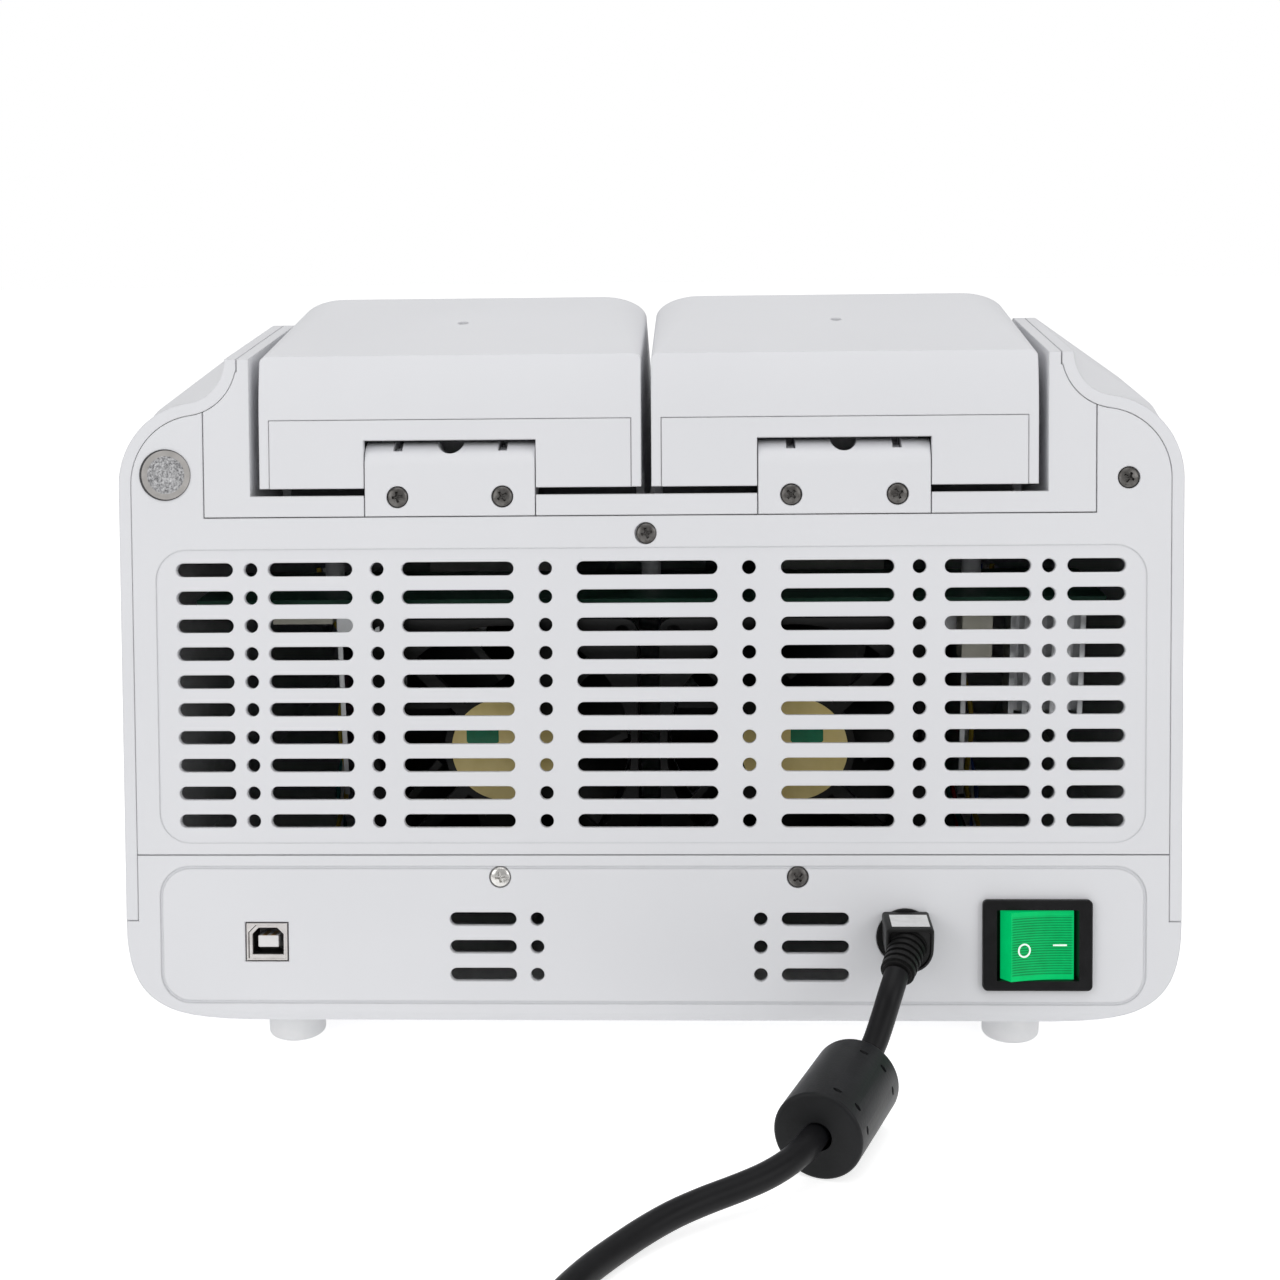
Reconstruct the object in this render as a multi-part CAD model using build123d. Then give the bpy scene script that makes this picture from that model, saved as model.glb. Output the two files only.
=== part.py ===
"""Two-module real-time PCR machine, seen in the photograph from behind.

The bench instrument has two hinged heated lids side by side over two blocks of sample
wells. Its moulded housing leans forward at the back, where a ventilated panel covers two
cooling fans. Millimetres, +Z up. The operator stands at -Y and the vented rear face looks
to +Y. The origin is the centre of the footprint, on the bench.
"""
import os
from math import asin, atan2, cos, degrees, pi, radians, sin, sqrt, tan

from build123d import *

# Overall body
DEPTH = 310.0
HALF_WIDTH = 154.3
LEAN = 10.5
FOOT_HEIGHT = 11.0
WALL = 3.5
PANEL = 2.6
SEAM = 0.15

# Heights up the leaning rear face, from its lower edge
STEP_S = 31.0
BASE_SEAM_S = 50.5
APRON_S = 149.5
CREASE_S = 195.5

# Top of the body, seen from the side
RIDGE_BACK = 65.0
LEDGE_RISE = 5.9
CHAMFER_START = 26.0
FRONT_TOP_Z = 104.0
FRONT_ROUND = 24.0
EDGE_ROUND = 4.0

# Shoulders and lower corners of the cross-section
LEDGE_X = 119.2
CORNER_R = 23.5
SWEEP_R = 12.5
CHAMFER_ANGLE = 35.0
CHAMFER_R = 10.0
CORNER_REACH = 59.0
CORNER_WEIGHT = 1.7

# Channel for the lids
CHANNEL_X = 115.6
CHANNEL_WALL = 3.2
APRON_X = HALF_WIDTH - 25
DECK_Z = 150.0
DECK = 3.0
DECK_END_Y = -66.0
SHELF_FRONT_Y = 97.0
TROUGH_R = 11.3

# Lids
LID_GAP = 3.0
LID_OUTER_X = 112.8
LID_BOTTOM_S = 157.8
LID_CURVE_S = 178.0
LID_CURVE_R = 76.0
LID_RISE = 14.0
LID_PROUD = 8.0
LID_WALL = 2.5
LID_FRONT_Y = -62.0
LID_DECK_GAP = 2.4
LID_CORNER_WIDE = 14.0
LID_CORNER_HIGH = 7.0
LID_REAR_CORNER = 1.5
LID_COVER_TOP_S = 177.7
LID_COVER_EDGE = 2.8
VENT_PIN_HOLE = 3.2

# Hinges
HINGE_S = 163.8
BARREL_R = 7.9
BRACKET_WIDE = 49.6
BRACKET_PLATE = 3.0
NOTCH_GAP = 0.3
NOTCH_TOP_S = 171.7
EAR_OFFSET = 15.3
EAR_THICK = 2.0
EAR_GAP = 0.3
SLIT_S = 168.6
CABLE_HOLE_R = 3.9
PIN_R = 2.5
PIN_CLEAR = 0.05
EAR_R = 6.0
EAR_NECK = SLIT_S - HINGE_S + 2 * EAR_GAP
HINGE_SCREW_X = 15.3
HINGE_SCREW_S = 155.2

# Vent pattern of the rear panel
VENT_ROWS = 10
VENT_PITCH = 8.2
VENT_LOW_S = 60.5
VENT_HIGH = 4.0
VENT_HOLE_R = 2.0
VENT_SLOTS = [(0.0, 20.5), (55.2, 16.4), (98.4, 12.4), (129.5, 8.4)]
VENT_HOLES = [29.6, 78.8, 115.9]
FRAME_STEP_X = HALF_WIDTH - 10.5
FRAME_LOW_S = 54.0
FRAME_HIGH_S = 140.2
FRAME_STEP = 0.3
FRAME_ROUND = 9.0

# Lower rear face
GROOVE_X = HALF_WIDTH - 10.1
GROOVE_LOW_S = 6.5
GROOVE_HIGH_S = 47.2
GROOVE_WIDE = 0.8
GROOVE_DEEP = 0.4
GROOVE_ROUND = 9.0
LOW_VENT_TOP_S = 31.6
LOW_VENT_ROWS = 3
LOW_SLOT_X = 48.6
LOW_SLOT_HALF = 9.8
LOW_HOLE_X = 32.7
LOW_SCREW_X = 43.5
LOW_SCREW_S = 44.0

# Screws and the seal
SCREW_HEAD_R = 3.05
SCREW_HEAD = 1.7
SCREW_SHANK_R = 1.5
SCREW_LENGTH = 7.0
SCREW_SINK = 1.2
SCREW_CLEAR = 0.15
PANEL_SCREW_S = 144.3
SIDE_SCREW = (15.8 - HALF_WIDTH, 159.4)
SEAL = (HALF_WIDTH - 13.7, 162.1)
SEAL_R = 7.5
SEAL_THICK = 0.25

# USB socket
USB_X = HALF_WIDTH - 41.7
USB_S = 24.8
USB_WIDE = 12.05
USB_HIGH = 10.9
USB_CUT = 0.45
USB_SHELL = 0.5
USB_DEEP = 16.0
USB_TONGUE = (5.6, 3.2)
USB_CHAMFER = 2.2

# Power switch
SWITCH_X = 41.6 - HALF_WIDTH
SWITCH_S = 24.3
SWITCH_WIDE = 31.6
SWITCH_HIGH = 26.6
SWITCH_FLANGE = 2.0
SWITCH_CUT = 1.4
SWITCH_DEEP = 20.0
SWITCH_ROUND = 1.5
SWITCH_EDGE = 0.6
ROCKER_WELL = 12.0
ROCKER_PIN = 1.0
ROCKER_SIDE_GAP = 1.0
ROCKER_TAPER = 0.7
ROCKER_DISH = 0.14
ROCKER_WIDE = 21.6
ROCKER_HIGH = 20.0
ROCKER_GAP = 0.35
ROCKER_PIVOT_DEPTH = 3.0
ROCKER_STAND = 5.0
ROCKER_FLUSH = 0.8
ROCKER_PIN_R = 1.5
ROCKER_SWING = 2 * degrees(asin((ROCKER_STAND - ROCKER_FLUSH) / ROCKER_WIDE))

# Supply socket and plug
JACK_X = -74.6
JACK_S = 26.5
JACK_R = 8.2
JACK_HOLE_R = 5.1
JACK_DEEP = 14.0
JACK_RIM = 0.8
PLUG_NOSE_R = 4.95
PLUG_NOSE = 9.0
PLUG_WIDE = 14.0
PLUG_TOP = 5.8
PLUG_LONG = 9.0
PLUG_GAP = 0.2
RELIEF_R = (5.6, 4.9)
RELIEF_RIBS = 6
RELIEF_GROOVE = 0.7

# Supply lead, from the strain relief along the bench to its coil
CORD_R = 3.5
CORD_ROUTE = [
    (-70.0, 170.0, 35.0),
    (-68.0, 175.0, 32.0),
    (-65.8, 178.0, 26.0),
    (-62.5, 183.0, 18.5),
    (-57.0, 190.5, 13.2),
    (-51.0, 205.0, 12.0),
    (-44.4, 220.8, 12.0),
    (-39.5, 228.3, 10.5),
    (-32.5, 234.4, 8.9),
    (-24.4, 239.0, 7.7),
    (-16.1, 243.2, 6.7),
    (-8.2, 248.0, 5.6),
    (-1.1, 253.9, 4.4),
    (5.1, 260.7, 3.6),
    (10.5, 268.2, 3.5),
    (15.1, 276.2, 3.5),
    (18.9, 284.7, 3.5),
    (21.8, 293.5, 3.5),
    (23.3, 302.8, 3.5),
    (24.0, 312.0, 3.5),
    (24.3, 321.0, 3.5),
    (24.1, 330.0, 3.5),
    (23.6, 338.5, 3.5),
]
FERRITE = [(-56.5, 191.3, 12.0), (-45.0, 220.8, 12.0)]
FERRITE_R = 12.0
FERRITE_ROUND = 2.5
FERRITE_CLEAR = 0.4
COIL_MIDDLE = (-19.75, 344.0)
COIL_R = 40.0
COIL_WIDE = 14.5
COIL_LAYERS = 2
ADAPTER_MIDDLE = (-116.0, 395.0)
ADAPTER_SIZE = (110.0, 50.0, 32.0)
ADAPTER_ROUND = 5.0
ADAPTER_SLEEVE = (5.6, 4.6, 15.0)
ADAPTER_LEAD = [(-46.0, 395.0, 12.0), (-35.0, 393.6, 11.7), (-23.0, 389.4, 11.0), (-11.0, 386.9, 10.5)]
INLET = (20.0, 14.0, 12.0)

# Cooling and sample modules
MODULE_X = (LID_GAP / 2 + LID_OUTER_X) / 2
WELLS = 4
WELL_PITCH = 9.0
WELL_TOP_R = 3.1
WELL_FOOT_R = 1.3
WELL_DEEP = 14.0
BLOCK_Y = 8.0
BLOCK_SIZE = 46.0
BLOCK_PLATE = 4.0
CUP_WALL = 1.1
BLOCK_TOP_Z = 146.0
BLOCK_WINDOW = 50.0
PELTIER = 3.6
SINK_WIDE = 80.0
SINK_BASE = 8.0
SINK_FIN = 1.6
SINK_FINS = 13
SINK_DEEP = 58.0
FAN_SIZE = 80.0
FAN_THICK = 25.0
FAN_X = FAN_SIZE / 2 + 3.3
FAN_Z = 87.3
FAN_BACK_Y = 125.0
FAN_BORE = FAN_SIZE / 2 - 2
FAN_HUB_R = 17.5
FAN_MOTOR_R = 18.0
FAN_LABEL_R = 15.8
FAN_TIP_GAP = 1.0
FAN_BLADES = 7
FAN_BLADE = 1.4
FAN_SHAFT_R = 1.5
FAN_STRUT = 4.0
FAN_FLANGE = 3.0
FAN_SKIN = 1.2
FAN_CORNER = 4.0
FAN_HOLES = FAN_SIZE - 8.5
FAN_HOLE_R = 2.2
FAN_TUBE = 12.0
FAN_PITCH = 52.0
SINK_FAN_GAP = 0.3
SINK_FOOT = 3.0
SINK_FOOT_IN = 12.0
SEAT_GAP = 0.2

# Lid contents
PLATE_SIZE = 58.0
PLATE_THICK = 6.0
PLATE_TRAVEL = 2.0
PLATE_HOLE_R = 1.9
PLATE_RIM = 1.8
PLATE_OVER_BLOCK = 6.5
TRAY = 2.4
TRAY_HOLE_GAP = 0.4
OPTICS_HIGH = 13.0
SPRING_R = 2.6
SPRING_WIRE = 0.6
SPRING_ROOM = 5.0

SPRING_TURNS = 3
POST_OUT = 5.0
POST_R = 2.5
OPTICS_PLATE = 3.0
TRAY_GAP = 0.2
TRAY_WALL_Z = 184.0
ARM_PLATE_HALF = 24.0
PIN_MARK_Y = 81.0

# Status lights on the front slope
STATUS_WIDE = 30.0
STATUS_HIGH = 5.0
STATUS_AHEAD = 20.0
STATUS_GAP = 0.15

# Boards
BOARD = 1.6
FAN_BOARD_Z = 131.0
FAN_BOARD_X = 134.0
FAN_BOARD_Y = (78.0, 122.0)
BOARD_BLOCKS = [(-98.0, 108.0, 9.0, 12.0, 20.0), (104.0, 112.0, 18.0, 8.0, 7.0), (60.0, 90.0, 26.0, 8.0, 3.0)]
COOLER = (-118.0, 113.0, 22.0, 12.0, 36.0)
COOLER_FINS = 6
BOSS_R = 3.0
MAIN_BOARD_Z = 26.0
MAIN_BOARD_X = 110.0
MAIN_BOARD_Y = (-14.0, 70.0)
WIRE_R = 0.8
WIRE_X = 101.0
WIRE_Y = 88.0
WIRE_STEP = 2.6
WIRE_SWAY = 2.0
WIRE_BEND = 5.0
WIRE_COUNT = 5

# Foot pads
FOOT_R = 8.5
FOOT_X = HALF_WIDTH - 45.8
FOOT_INSET = 20.0

# Derived places
LEAN_SIN = sin(radians(LEAN))
LEAN_COS = cos(radians(LEAN))
ROCKER_LOW_S = SWITCH_S - ROCKER_HIGH / 2
ROCKER_REACH = ROCKER_STAND * LEAN_COS - ROCKER_LOW_S * LEAN_SIN
REAR_Y = DEPTH / 2 - ROCKER_REACH
FRONT_Y = -DEPTH / 2
BASE_Z = FOOT_HEIGHT


def rear_point(s, deep=0.0):
    """Y and Z of a point s up the rear face and deep below it."""
    y = REAR_Y - s * LEAN_SIN - deep * LEAN_COS
    z = BASE_Z + s * LEAN_COS - deep * LEAN_SIN
    return y, z


def rear_plane(x, s, deep=0.0):
    """Plane on the rear face: local x to -X, local y up the face, z outward."""
    y, z = rear_point(s, deep)
    return Plane(origin=(x, y, z), x_dir=(-1, 0, 0), z_dir=(0, LEAN_COS, LEAN_SIN))


CREASE_Y, CREASE_Z = rear_point(CREASE_S)
HINGE_Y, HINGE_Z = rear_point(HINGE_S, BARREL_R)
RIDGE_Y = CREASE_Y - RIDGE_BACK
RIDGE_Z = CREASE_Z + LEDGE_RISE
STEP_Z = rear_point(STEP_S)[1]
SIDES = {"right": 1, "left": -1}
FRONT_SLOPE = (RIDGE_Z - FRONT_TOP_Z) / (RIDGE_Y - FRONT_Y)
SLOPE_COS = 1 / sqrt(1 + FRONT_SLOPE**2)
DECK_FRONT_Y = RIDGE_Y - (RIDGE_Z - DECK_Z) / FRONT_SLOPE
LID_MID_X = (LID_GAP / 2 + LID_OUTER_X) / 2
LID_HALF = (LID_OUTER_X - LID_GAP / 2) / 2
LID_TOP_Z = RIDGE_Z + LID_PROUD
LID_LOW_Z = DECK_Z + LID_DECK_GAP
PLATE_LOW_Z = BLOCK_TOP_Z + PLATE_OVER_BLOCK
OPTICS_LOW_Z = PLATE_LOW_Z + PLATE_THICK + SPRING_ROOM
BEYOND = 30.0


def box_between(xs, ys, zs):
    """Solid box between two values on each axis."""
    size = (xs[1] - xs[0], ys[1] - ys[0], zs[1] - zs[0])
    middle = (sum(xs) / 2, sum(ys) / 2, sum(zs) / 2)
    return Pos(*middle) * Box(*size)


def rear_box(xs, ss, deeps):
    """Box square to the leaning rear face: across, up the face and into it."""
    plane = rear_plane(sum(xs) / 2, sum(ss) / 2, sum(deeps) / 2)
    return plane * Box(xs[1] - xs[0], ss[1] - ss[0], deeps[1] - deeps[0])


def rear_cylinder(x, s, deeps, radius):
    """Round bar square to the rear face, between two depths."""
    return rear_plane(x, s, sum(deeps) / 2) * Cylinder(radius, deeps[1] - deeps[0])


def bar_along_x(y, z, radius, xs):
    """Round bar along X."""
    return Pos(sum(xs) / 2, y, z) * Rot(0, 90, 0) * Cylinder(radius, xs[1] - xs[0])


def across(points, xs):
    """Flat outline in Y and Z carried across from xs[0] to xs[1]."""
    outline = make_face(Polyline(*[(0, y, z) for y, z in points], close=True))
    return Pos(xs[0], 0, 0) * extrude(outline, xs[1] - xs[0], dir=(1, 0, 0))


def meet(start, along, other, other_along):
    """Point where two lines in a plane cross."""
    gap = other - start
    cross = along.X * other_along.Y - along.Y * other_along.X
    reach = (gap.X * other_along.Y - gap.Y * other_along.X) / cross
    return start + along * reach


def corner_weight(start, corner, end):
    """Weight that makes a three-point curve with this corner a round arc."""
    turn = (corner - start).get_angle(end - corner)
    return cos(radians(turn / 2))


# Body hull


def ledge_height(y):
    """Height of the ledge line beside the lids."""
    if y >= CREASE_Y:
        return CREASE_Z
    if y >= RIDGE_Y:
        return CREASE_Z + LEDGE_RISE * (CREASE_Y - y) / RIDGE_BACK
    return RIDGE_Z - FRONT_SLOPE * (RIDGE_Y - y)


def swept_shoulder(top, inset):
    """S-shaped shoulder: a round corner that runs into a hollow sweep up to the ledge."""
    hollow = Vector(LEDGE_X + WALL + SWEEP_R, top)
    corner_x = HALF_WIDTH - CORNER_R
    drop = sqrt((CORNER_R + SWEEP_R) ** 2 - (hollow.X - corner_x) ** 2)
    corner = Vector(corner_x, top - drop)
    toward = (hollow - corner).normalized()
    change = corner + toward * (CORNER_R - inset)
    radius = SWEEP_R + inset
    end = Vector(hollow.X - sqrt(radius**2 - inset**2), top - inset)
    start = Vector(HALF_WIDTH - inset, corner.Y)
    tangent = Vector(toward.Y, -toward.X)
    spoke = end - hollow
    first = meet(start, Vector(0, 1), change, tangent)
    second = meet(change, tangent, end, Vector(spoke.Y, -spoke.X))
    return start, first, change, second, end


def chamfered_shoulder(top, inset):
    """Straight shoulder with a small round corner, further forward."""
    slope = Vector(cos(radians(CHAMFER_ANGLE)), -sin(radians(CHAMFER_ANGLE)))
    out = Vector(-slope.Y, slope.X)
    edge = Vector(LEDGE_X + WALL, top) - out * inset
    corner_x = HALF_WIDTH - CHAMFER_R
    fall = (CHAMFER_R + (corner_x - LEDGE_X - WALL) * out.X) / out.Y
    corner = Vector(corner_x, top - fall)
    change = corner + out * (CHAMFER_R - inset)
    end = edge + slope * ((edge.Y - top + inset) / -slope.Y)
    start = Vector(HALF_WIDTH - inset, corner.Y)
    first = meet(start, Vector(0, 1), change, slope)
    return start, first, change, (change + end) / 2, end


def half_section(y, top, inset, shoulder):
    """Closed half outline of the body at one distance, on the +X side."""
    start, first, change, second, end = shoulder(top, inset)
    floor = BASE_Z + inset
    half = HALF_WIDTH - inset

    def at(point):
        return Vector(point.X, y, point.Y)

    def place(x, z):
        return Vector(x, y, z)

    reach = place(HALF_WIDTH - CORNER_REACH, floor)
    side = place(half, STEP_Z)
    bend = [place(half, floor), at(first), at(second)]
    edges = [
        Line(place(0, floor), reach),
        Bezier(reach, bend[0], side, weights=[1, CORNER_WEIGHT, 1]),
        Line(side, at(start)),
        Bezier(at(start), bend[1], at(change), weights=[1, corner_weight(start, first, change), 1]),
        Bezier(at(change), bend[2], at(end), weights=[1, corner_weight(change, second, end), 1]),
        Line(at(end), place(0, top - inset)),
        Line(place(0, top - inset), place(0, floor)),
    ]
    return Wire(edges)


def side_profile(inset):
    """Outline of the body from the side, or of the space inside its walls."""
    back = BEYOND if inset else 0.0
    low = BASE_Z + inset
    front = FRONT_Y + inset
    corner = FRONT_TOP_Z - inset / SLOPE_COS + FRONT_SLOPE * inset
    lean = tan(radians(LEAN))
    apex_z = (REAR_Y + back + low * lean - front + corner / FRONT_SLOPE) / (1 / FRONT_SLOPE + lean)
    points = [
        (REAR_Y + back, low),
        (REAR_Y + back - (apex_z - low) * lean, apex_z),
        (front, corner),
        (front, low),
    ]
    outline = make_face(Polyline(*[(-1, y, z) for y, z in points], close=True))
    corners = outline.vertices().sort_by(Axis.Z)
    foot = corners[:2].sort_by(Axis.Y)
    outline = fillet(foot, EDGE_ROUND)
    nose = [v for v in outline.vertices() if abs(v.Y - front) < 1 and abs(v.Z - corner) < 1]
    return fillet(nose, FRONT_ROUND - inset)


def hull(inset):
    """Right half of the body as one solid, drawn in by inset."""
    chamfer_y = CREASE_Y - CHAMFER_START
    stations = [
        (REAR_Y + BEYOND, ledge_height(REAR_Y), swept_shoulder),
        (CREASE_Y, ledge_height(CREASE_Y), swept_shoulder),
        (chamfer_y, ledge_height(chamfer_y), chamfered_shoulder),
        (RIDGE_Y, RIDGE_Z, chamfered_shoulder),
        (FRONT_Y - 1, FRONT_TOP_Z + EDGE_ROUND, chamfered_shoulder),
    ]
    wires = [half_section(y, top, inset, shoulder) for y, top, shoulder in stations]
    body = Solid.make_loft(wires, ruled=True)
    profile = side_profile(inset)
    return body & extrude(profile, HALF_WIDTH + 2, dir=(1, 0, 0))


def both(shape):
    """A shape and its mirror image on the other side."""
    return shape + mirror(shape, about=Plane.YZ)


OUTER_HALF = hull(0)
INNER_HALF = hull(WALL)
PANEL_HALF = hull(WALL + SEAM)
SHELL_HALF = OUTER_HALF - INNER_HALF


def slab(lows, highs, half):
    """Full-width panel in the leaning rear face between two heights, cut from a half hull."""
    cut = half & rear_box((-1, HALF_WIDTH + 1), (lows, highs), (0, PANEL))
    return both(cut)


# Housing


def screw_seats():
    """Places of the rear screws: x, height up the face."""
    seats = [(0.3, PANEL_SCREW_S), SIDE_SCREW, (LOW_SCREW_X, LOW_SCREW_S), (-LOW_SCREW_X, LOW_SCREW_S)]
    for side in SIDES.values():
        for offset in (-HINGE_SCREW_X, HINGE_SCREW_X):
            seats.append((side * LID_MID_X + offset, HINGE_SCREW_S))
    return seats


def screw_holes():
    """Counterbored holes for all rear screws."""
    holes = []
    for x, s in screw_seats():
        holes.append(rear_cylinder(x, s, (-1, SCREW_SINK), SCREW_HEAD_R + SCREW_CLEAR))
        holes.append(rear_cylinder(x, s, (0, SCREW_LENGTH + 1), SCREW_SHANK_R + SCREW_CLEAR))
    return Part() + holes


def cover_screws():
    """Pan head screws with a cross recess, each a separate solid."""
    screws = []
    for x, s in screw_seats():
        head = rear_cylinder(x, s, (SCREW_SINK - SCREW_HEAD, SCREW_SINK), SCREW_HEAD_R)
        head = fillet(head.edges().group_by(lambda e: -rear_depth(e.center()))[-1], 0.8)
        shank = rear_cylinder(x, s, (SCREW_SINK, SCREW_LENGTH), SCREW_SHANK_R)
        recess = rear_plane(x, s, SCREW_SINK - SCREW_HEAD) * (Box(3.4, 0.8, 1.6) + Box(0.8, 3.4, 1.6))
        screws.append(head + shank - recess)
    return Compound(children=screws)


def rear_depth(point):
    """How far a point lies below the rear face."""
    y, z = rear_point(0)
    return -(point.Y - y) * LEAN_COS - (point.Z - z) * LEAN_SIN


def vent_sketch():
    """Slots and round holes of the rear panel, in face coordinates."""
    cuts = []
    for row in range(VENT_ROWS):
        s = VENT_LOW_S + row * VENT_PITCH
        for x, half in VENT_SLOTS:
            for place in {x, -x}:
                cuts.append(Pos(place, s) * SlotOverall(2 * half, VENT_HIGH))
        for x in VENT_HOLES:
            for place in (x, -x):
                cuts.append(Pos(place, s) * Circle(VENT_HOLE_R))
    return Sketch() + cuts


def low_vent_sketch():
    """Three slots and three holes on each side of the lower rear wall."""
    cuts = []
    for row in range(LOW_VENT_ROWS):
        s = LOW_VENT_TOP_S - row * VENT_PITCH
        for side in (-1, 1):
            cuts.append(Pos(side * LOW_SLOT_X, s) * SlotOverall(2 * LOW_SLOT_HALF, VENT_HIGH))
            cuts.append(Pos(side * LOW_HOLE_X, s) * Circle(VENT_HOLE_R))
    return Sketch() + cuts


def rear_cut(sketch, deep):
    """Cutter made from a sketch in face coordinates."""
    return extrude(rear_plane(0, 0, -1) * sketch, -(deep + 1))


def rounded_frame(half, low, high, radius, wide):
    """Narrow rounded rectangular groove in face coordinates."""
    middle = Pos(0, (low + high) / 2)
    outside = RectangleRounded(2 * half, high - low, radius)
    inside = RectangleRounded(2 * (half - wide), high - low - 2 * wide, radius - wide)
    return middle * (outside - inside)


def base_tray():
    """Floor, lower side walls and the lower rear wall with its sockets and vents."""
    low = SHELL_HALF & box_between((-1, HALF_WIDTH + 1), (FRONT_Y - 1, REAR_Y + 1), (0, STEP_Z - SEAM))
    wall_low = OUTER_HALF & rear_box((-1, HALF_WIDTH + 1), (-9, STEP_S - SEAM), (0, PANEL))
    wall_low &= box_between((-1, HALF_WIDTH + 1), (0, REAR_Y + 9), (0, STEP_Z - SEAM))
    wall_high = PANEL_HALF & rear_box((-1, HALF_WIDTH + 1), (STEP_S - 9, BASE_SEAM_S - SEAM), (0, PANEL))
    tray = both(low + wall_low + wall_high)
    tray -= rear_cut(rounded_frame(GROOVE_X, GROOVE_LOW_S, GROOVE_HIGH_S, GROOVE_ROUND, GROOVE_WIDE), GROOVE_DEEP)
    tray -= rear_cut(low_vent_sketch(), PANEL + 1)
    half_usb = (USB_WIDE / 2 + USB_CUT, USB_HIGH / 2 + USB_CUT)
    tray -= rear_box((USB_X - half_usb[0], USB_X + half_usb[0]), (USB_S - half_usb[1], USB_S + half_usb[1]), (-1, 9))
    half_switch = (SWITCH_WIDE / 2 - SWITCH_CUT, SWITCH_HIGH / 2 - SWITCH_CUT)
    tray -= rear_box(
        (SWITCH_X - half_switch[0], SWITCH_X + half_switch[0]),
        (SWITCH_S - half_switch[1], SWITCH_S + half_switch[1]),
        (-1, 9),
    )
    tray -= rear_cylinder(JACK_X, JACK_S, (-1, 9), JACK_R + SEAM)
    bosses = []
    for x in (-LOW_SCREW_X, LOW_SCREW_X):
        bosses.append(rear_cylinder(x, LOW_SCREW_S, (PANEL, SCREW_LENGTH + 2), SCREW_HEAD_R))
    edge = 2 * BOSS_R
    for x in (-MAIN_BOARD_X + edge, 0, MAIN_BOARD_X - edge):
        for y in (MAIN_BOARD_Y[0] + edge, MAIN_BOARD_Y[1] - edge):
            zs = (BASE_Z + WALL - 1, MAIN_BOARD_Z)
            bosses.append(Pos(x, y, sum(zs) / 2) * Cylinder(BOSS_R, zs[1] - zs[0]))
    return tray + bosses - screw_holes()


def rear_grille_panel():
    """Ventilated panel that wraps round the apron of the top cover."""
    panel = slab(BASE_SEAM_S + SEAM, CREASE_S, PANEL_HALF)
    panel -= rear_box((-APRON_X - SEAM, APRON_X + SEAM), (APRON_S - SEAM, CREASE_S + 9), (-1, 9))
    panel -= rear_cut(vent_sketch(), PANEL + 1)
    step = RectangleRounded(2 * FRAME_STEP_X, FRAME_HIGH_S - FRAME_LOW_S, FRAME_ROUND)
    recess = Pos(0, (FRAME_LOW_S + FRAME_HIGH_S) / 2) * step
    panel -= rear_cut(recess, FRAME_STEP)
    panel += rear_cylinder(0.3, PANEL_SCREW_S, (PANEL - 0.1, SCREW_LENGTH + 1), SCREW_HEAD_R)
    panel += rear_cylinder(SIDE_SCREW[0], SIDE_SCREW[1], (PANEL - 0.1, SCREW_LENGTH + 1), SCREW_HEAD_R)
    return panel - screw_holes()


def side_cover(side):
    """Side wall with its shoulder, from the base seam to the ledge beside the lids."""
    region = box_between((LEDGE_X + SEAM, HALF_WIDTH + 1), (FRONT_Y - 1, REAR_Y + 1), (STEP_Z + SEAM, RIDGE_Z + 9))
    cover = SHELL_HALF & region
    return cover if side > 0 else mirror(cover, about=Plane.YZ)


def front_cover():
    """Sloping operator's front between the side covers, round at its top edge."""
    xs = (-1, LEDGE_X - SEAM)
    region = box_between(xs, (FRONT_Y - 1, DECK_FRONT_Y - 2 * SEAM), (STEP_Z + SEAM, RIDGE_Z))
    cover = both(SHELL_HALF & region)
    for side in SIDES.values():
        cover -= status_window(side, STATUS_GAP)
    return cover


def status_window(side, gap):
    """Light bar set in the slope in front of one lid."""
    y = DECK_FRONT_Y - STATUS_AHEAD
    tilt = degrees(atan2(FRONT_SLOPE, 1))
    bar = Box(STATUS_WIDE + 2 * gap, STATUS_HIGH + 2 * gap, 2 * WALL)
    return Pos(side * LID_MID_X, y, ledge_height(y)) * Rot(tilt, 0, 0) * bar


def status_lights():
    """Two clear light bars, flush with the slope."""
    return Compound(children=[status_window(side, 0) & both(OUTER_HALF) for side in SIDES.values()])


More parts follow.
